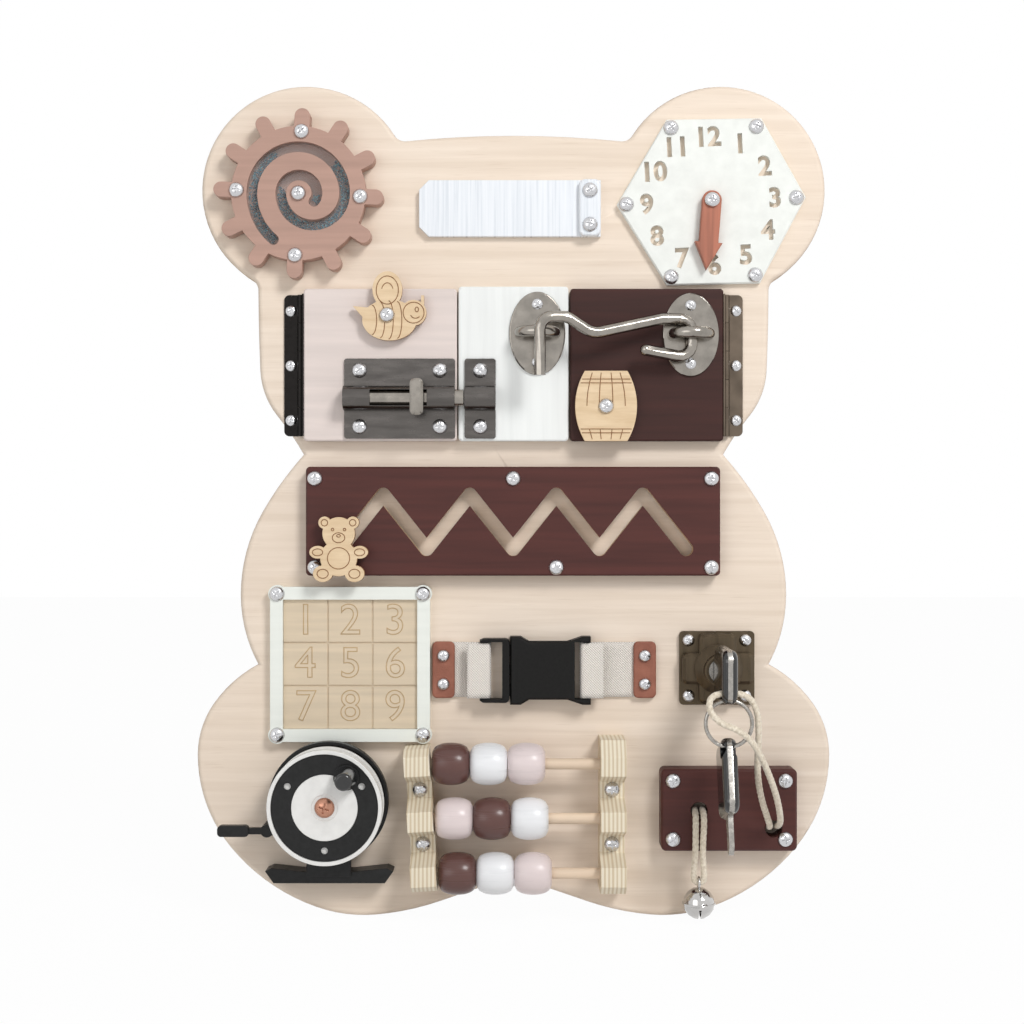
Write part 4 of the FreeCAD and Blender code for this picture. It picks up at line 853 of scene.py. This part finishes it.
# Number panel: nine engraved figures on bare plywood in a white frame.
number_ply = stained("engraved plywood", (214, 197, 172), 0.6, 0.035, glare=0.3)
etched = stained("etched line", (190, 164, 128), 0.8, 0.05, glare=0.1)
frame_paint = stained("white frame paint", (235, 238, 231), 0.4, 0.012)
finished("number_panel", number_ply)
finished("number_frame", frame_paint, 0.0004)
panel_middle = (-77.2, -77.5)
field_wide, field_high = 21.2, 20.4
figure_height = 20.5
figure_line = 0.00024
panel_out = (-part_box("number_panel")[0][1] - face) * 1000
figures = []
for i in range(9):
    spot = (panel_middle[0] + (i % 3 - 1) * field_wide, panel_middle[1] + (1 - i // 3) * field_high)
    figures.append(lettering(str(i + 1), figure_height, spot, panel_out, line=figure_line))
new_piece("number_lines", joined("number_lines", figures), etched, "board", slot_of["number_panel"])

# Strap: woven cotton webbing under two leather tabs that are screwed down, looped
# through a side release buckle moulded in black plastic.
leather = Finish("brown leather", 0.6)
hide = leather.node("ShaderNodeTexVoronoi", {"feature": "SMOOTH_F1"},
                    {"Vector": leather.stretched((1600, 1600, 1600)), "Scale": 1.0})
tint = leather.noise((120, 120, 120), 4.0)
leather.set("Base Color", leather.blend(leather.span(tint, 0.3, 0.7), seen(130, 76, 58), seen(156, 98, 78)))
leather.bump(hide, 0.5, 0.0003)
finished("strap_tabs", leather, 0.0004)
webbing = Finish("woven webbing", 0.85, 0.0, Sheen_Weight=0.3)
weave_pitch = 5200
across = webbing.axis("Z") * weave_pitch
along = webbing.axis("X") * weave_pitch
twill = webbing.node("ShaderNodeMath", {"operation": "SINE"}, {0: across + along})
rows = webbing.node("ShaderNodeMath", {"operation": "SINE"}, {0: across - along})
weave = twill * 0.6 + rows * 0.4
# Painted highlight on the raised threads and painted shade in the hollows between them, following the weave's
# height
weave_painted_light = webbing.blend(webbing.span(weave, -0.7, 0.7), seen(216, 206, 195), seen(252, 247, 240))
webbing.set("Base Color", weave_painted_light)
webbing.bump(weave, 0.6, 0.0004)
strap_middle = -80.2
strap_half = 13.0
strap_thick = 1.3
strap_low = 0.75
strap_high = 7.05
bend_middle = 3.9
bend_reach = 3.15
bend_swell = 1.0
cross_steps = 10
long_steps = 16
bend_steps = 8


def strap(name, line, node):
    # A flat strip along a line of (x, out) points, with thickness
    made = bmesh.new()
    rows = []
    for x, out in line:
        rows.append([made.verts.new(upright(x, out, strap_middle + strap_half * (2 * k / cross_steps - 1)))
                     for k in range(cross_steps + 1)])
    for first, second in zip(rows, rows[1:]):
        for k in range(cross_steps):
            made.faces.new((first[k], first[k + 1], second[k + 1], second[k]))
    bmesh.ops.recalc_face_normals(made, faces=made.faces)
    mesh = bpy.data.meshes.new(name)
    made.to_mesh(mesh)
    made.free()
    for f in mesh.polygons:
        f.use_smooth = True
    piece = new_piece(name, mesh, webbing, "board", slot_of[node], node)
    wall = piece.modifiers.new("wall", "SOLIDIFY")
    wall.thickness = strap_thick / 1000
    wall.offset = 0.0
    tuple(upright(line[0][0], 0.7, strap_middle))
    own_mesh(piece)


def hairpin(start, turn_at, back, side):
    # Along the board, up round the buckle's bar, and back on itself
    run = [(start + (turn_at - start) * i / long_steps, strap_low) for i in range(long_steps + 1)]
    bend = []
    for i in range(1, bend_steps):
        a = math.pi * i / bend_steps
        bend.append((turn_at + side * bend_swell * math.sin(a), bend_middle - bend_reach * math.cos(a)))
    rest = [(turn_at + (back - turn_at) * i / bend_steps, strap_high) for i in range(bend_steps + 1)]
    return run + bend + rest


strap("left_webbing", hairpin(-37.9, -12.2, -21.9, 1), "left_strap")
strap("right_webbing", hairpin(66.9, 32.9, 42.4, -1), "right_strap")
black = Finish("black moulded plastic", 0.5, 0.0, Specular_IOR_Level=0.2)
mould = black.noise((900, 900, 900), 3.0)
black.set("Base Color", black.blend(black.span(mould, 0.3, 0.7), seen(10, 9, 8), seen(18, 17, 16)))
black.bump(mould, 0.15, 0.0001)
finished("buckle_male", black, 0.0005)
finished("buckle_female", black, 0.0005)

# Cylinder lock: a bronzed plate with a raised cross round the barrel, its plug,
# and two keys with black heads on a wire ring.
bronze = metal("dark bronze", (98, 86, 70), 0.34, (400, 60, 60), 0.16)
key_steel = metal("key steel", (178, 174, 168), 0.26)
key_plastic = Finish("glossy key head", 0.16, 0.0, Coat_Weight=0.5)
sheen = key_plastic.noise((300, 300, 300))
ink = key_plastic.blend(key_plastic.span(sheen, 0.3, 0.7), seen(10, 10, 10), seen(20, 20, 21))
key_plastic.set("Base Color", ink)
finished("lock_body", bronze, 0.0003)
finished("lock_plug", key_steel)
finished("key_ring", key_steel, 0.0, 60)
blade_half = 0.0014
for node in ("key_one", "key_two"):
    piece = finished(node, key_plastic, 0.0, 40)
    middle = (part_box(node)[0][0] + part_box(node)[1][0]) / 2
    piece.data.materials.append(key_steel.material)
    for f in piece.data.polygons:
        thin = all(abs(piece.data.vertices[v].co.x - middle) < blade_half for v in f.vertices)
        f.material_index = 1 if thin else 0

# Bell: a chrome ball on its cord, hung from the maroon plate that both cords
# come out of.
chrome = metal("bell chrome", (206, 204, 202), 0.1, (90, 90, 90), 0.06)
finished("bell_plate", maroon, 0.0004)
finished("bell", chrome, 0.0, 50)

# Reel: a fishing reel with a satin white spool, a black crank ring and knob, a
# lever and a foot that is screwed to the board.
reel_white = Finish("satin white plastic", 0.28)
cloudy = reel_white.noise((200, 200, 200))
reel_tint = reel_white.blend(reel_white.span(cloudy, 0.3, 0.7), seen(226, 225, 222), seen(236, 235, 232))
reel_white.set("Base Color", reel_tint)
reel_black = Finish("satin black plastic", 0.4, 0.0, Specular_IOR_Level=0.3)
dusk = reel_black.noise((500, 500, 500))
soot = reel_black.blend(reel_black.span(dusk, 0.3, 0.7), seen(15, 15, 15), seen(27, 27, 27))
reel_black.set("Base Color", soot)
finished("reel_frame", reel_black, 0.0004)
finished("reel_spool", reel_white, 0.0003)
finished("reel_crank_ring", reel_black, 0.0002)
finished("reel_knob", key_plastic, 0.0003)
finished("reel_lever", reel_black, 0.0004)

# Bead frame: two scalloped plywood posts, three rods let into them, and nine
# turned and lacquered beads.
plies = Finish("layered plywood", 0.55)
streak = plies.noise((900, 40, 40), 4.0)
band = plies.node("ShaderNodeMath", {"operation": "SINE"}, {0: plies.axis("X") * 3300 + streak * 2.0})
plies.set("Base Color", plies.blend(plies.span(band, -0.4, 0.8), seen(234, 224, 203), seen(208, 190, 160)))
plies.bump(streak, 0.15, 0.0002)
finished("bead_posts", plies, 0.0003)
rod_wood = stained("bare rod", (222, 200, 176), 0.55, 0.05)
finished("bead_rods", rod_wood, 0.0, 40)
lacquers = {"bead_maroon": (96, 66, 61), "bead_white": (235, 236, 238), "bead_pink": (224, 210, 209)}
bead_finish = {}
for slot, colour in lacquers.items():
    bead_finish[slot] = stained(slot + " lacquer", colour, 0.3, 0.02, glare=0.4)
bead_bore = 0.0031
bore_edge = 0.0004
bead_end = 0.0056
bead_round = 2.2
bead_steps = 14
bead_sides = 64
for node in sorted(n for n in nodes if n.startswith("bead_") and n[5].isdigit()):
    low, high = (Vector(corner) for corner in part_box(node))
    middle = (low + high) / 2
    half = (high.x - low.x) / 2
    bulge = (high.z - low.z) / 2
    profile = [(bead_bore, -half + bore_edge), (bead_bore + bore_edge, -half)]
    for i in range(bead_steps + 1):
        along = half * (2 * i / bead_steps - 1)
        fullness = math.sqrt(1 - min(1.0, abs(along / half)) ** bead_round)
        profile.append((bead_end + (bulge - bead_end) * fullness, along))
    profile += [(bead_bore + bore_edge, half), (bead_bore, half - bore_edge)]
    mesh = lathe(node, profile, bead_sides, tuple(middle), "X")
    new_piece(node + "_turned", mesh, bead_finish[slot_of[node]], body_of[node], slot_of[node], node)
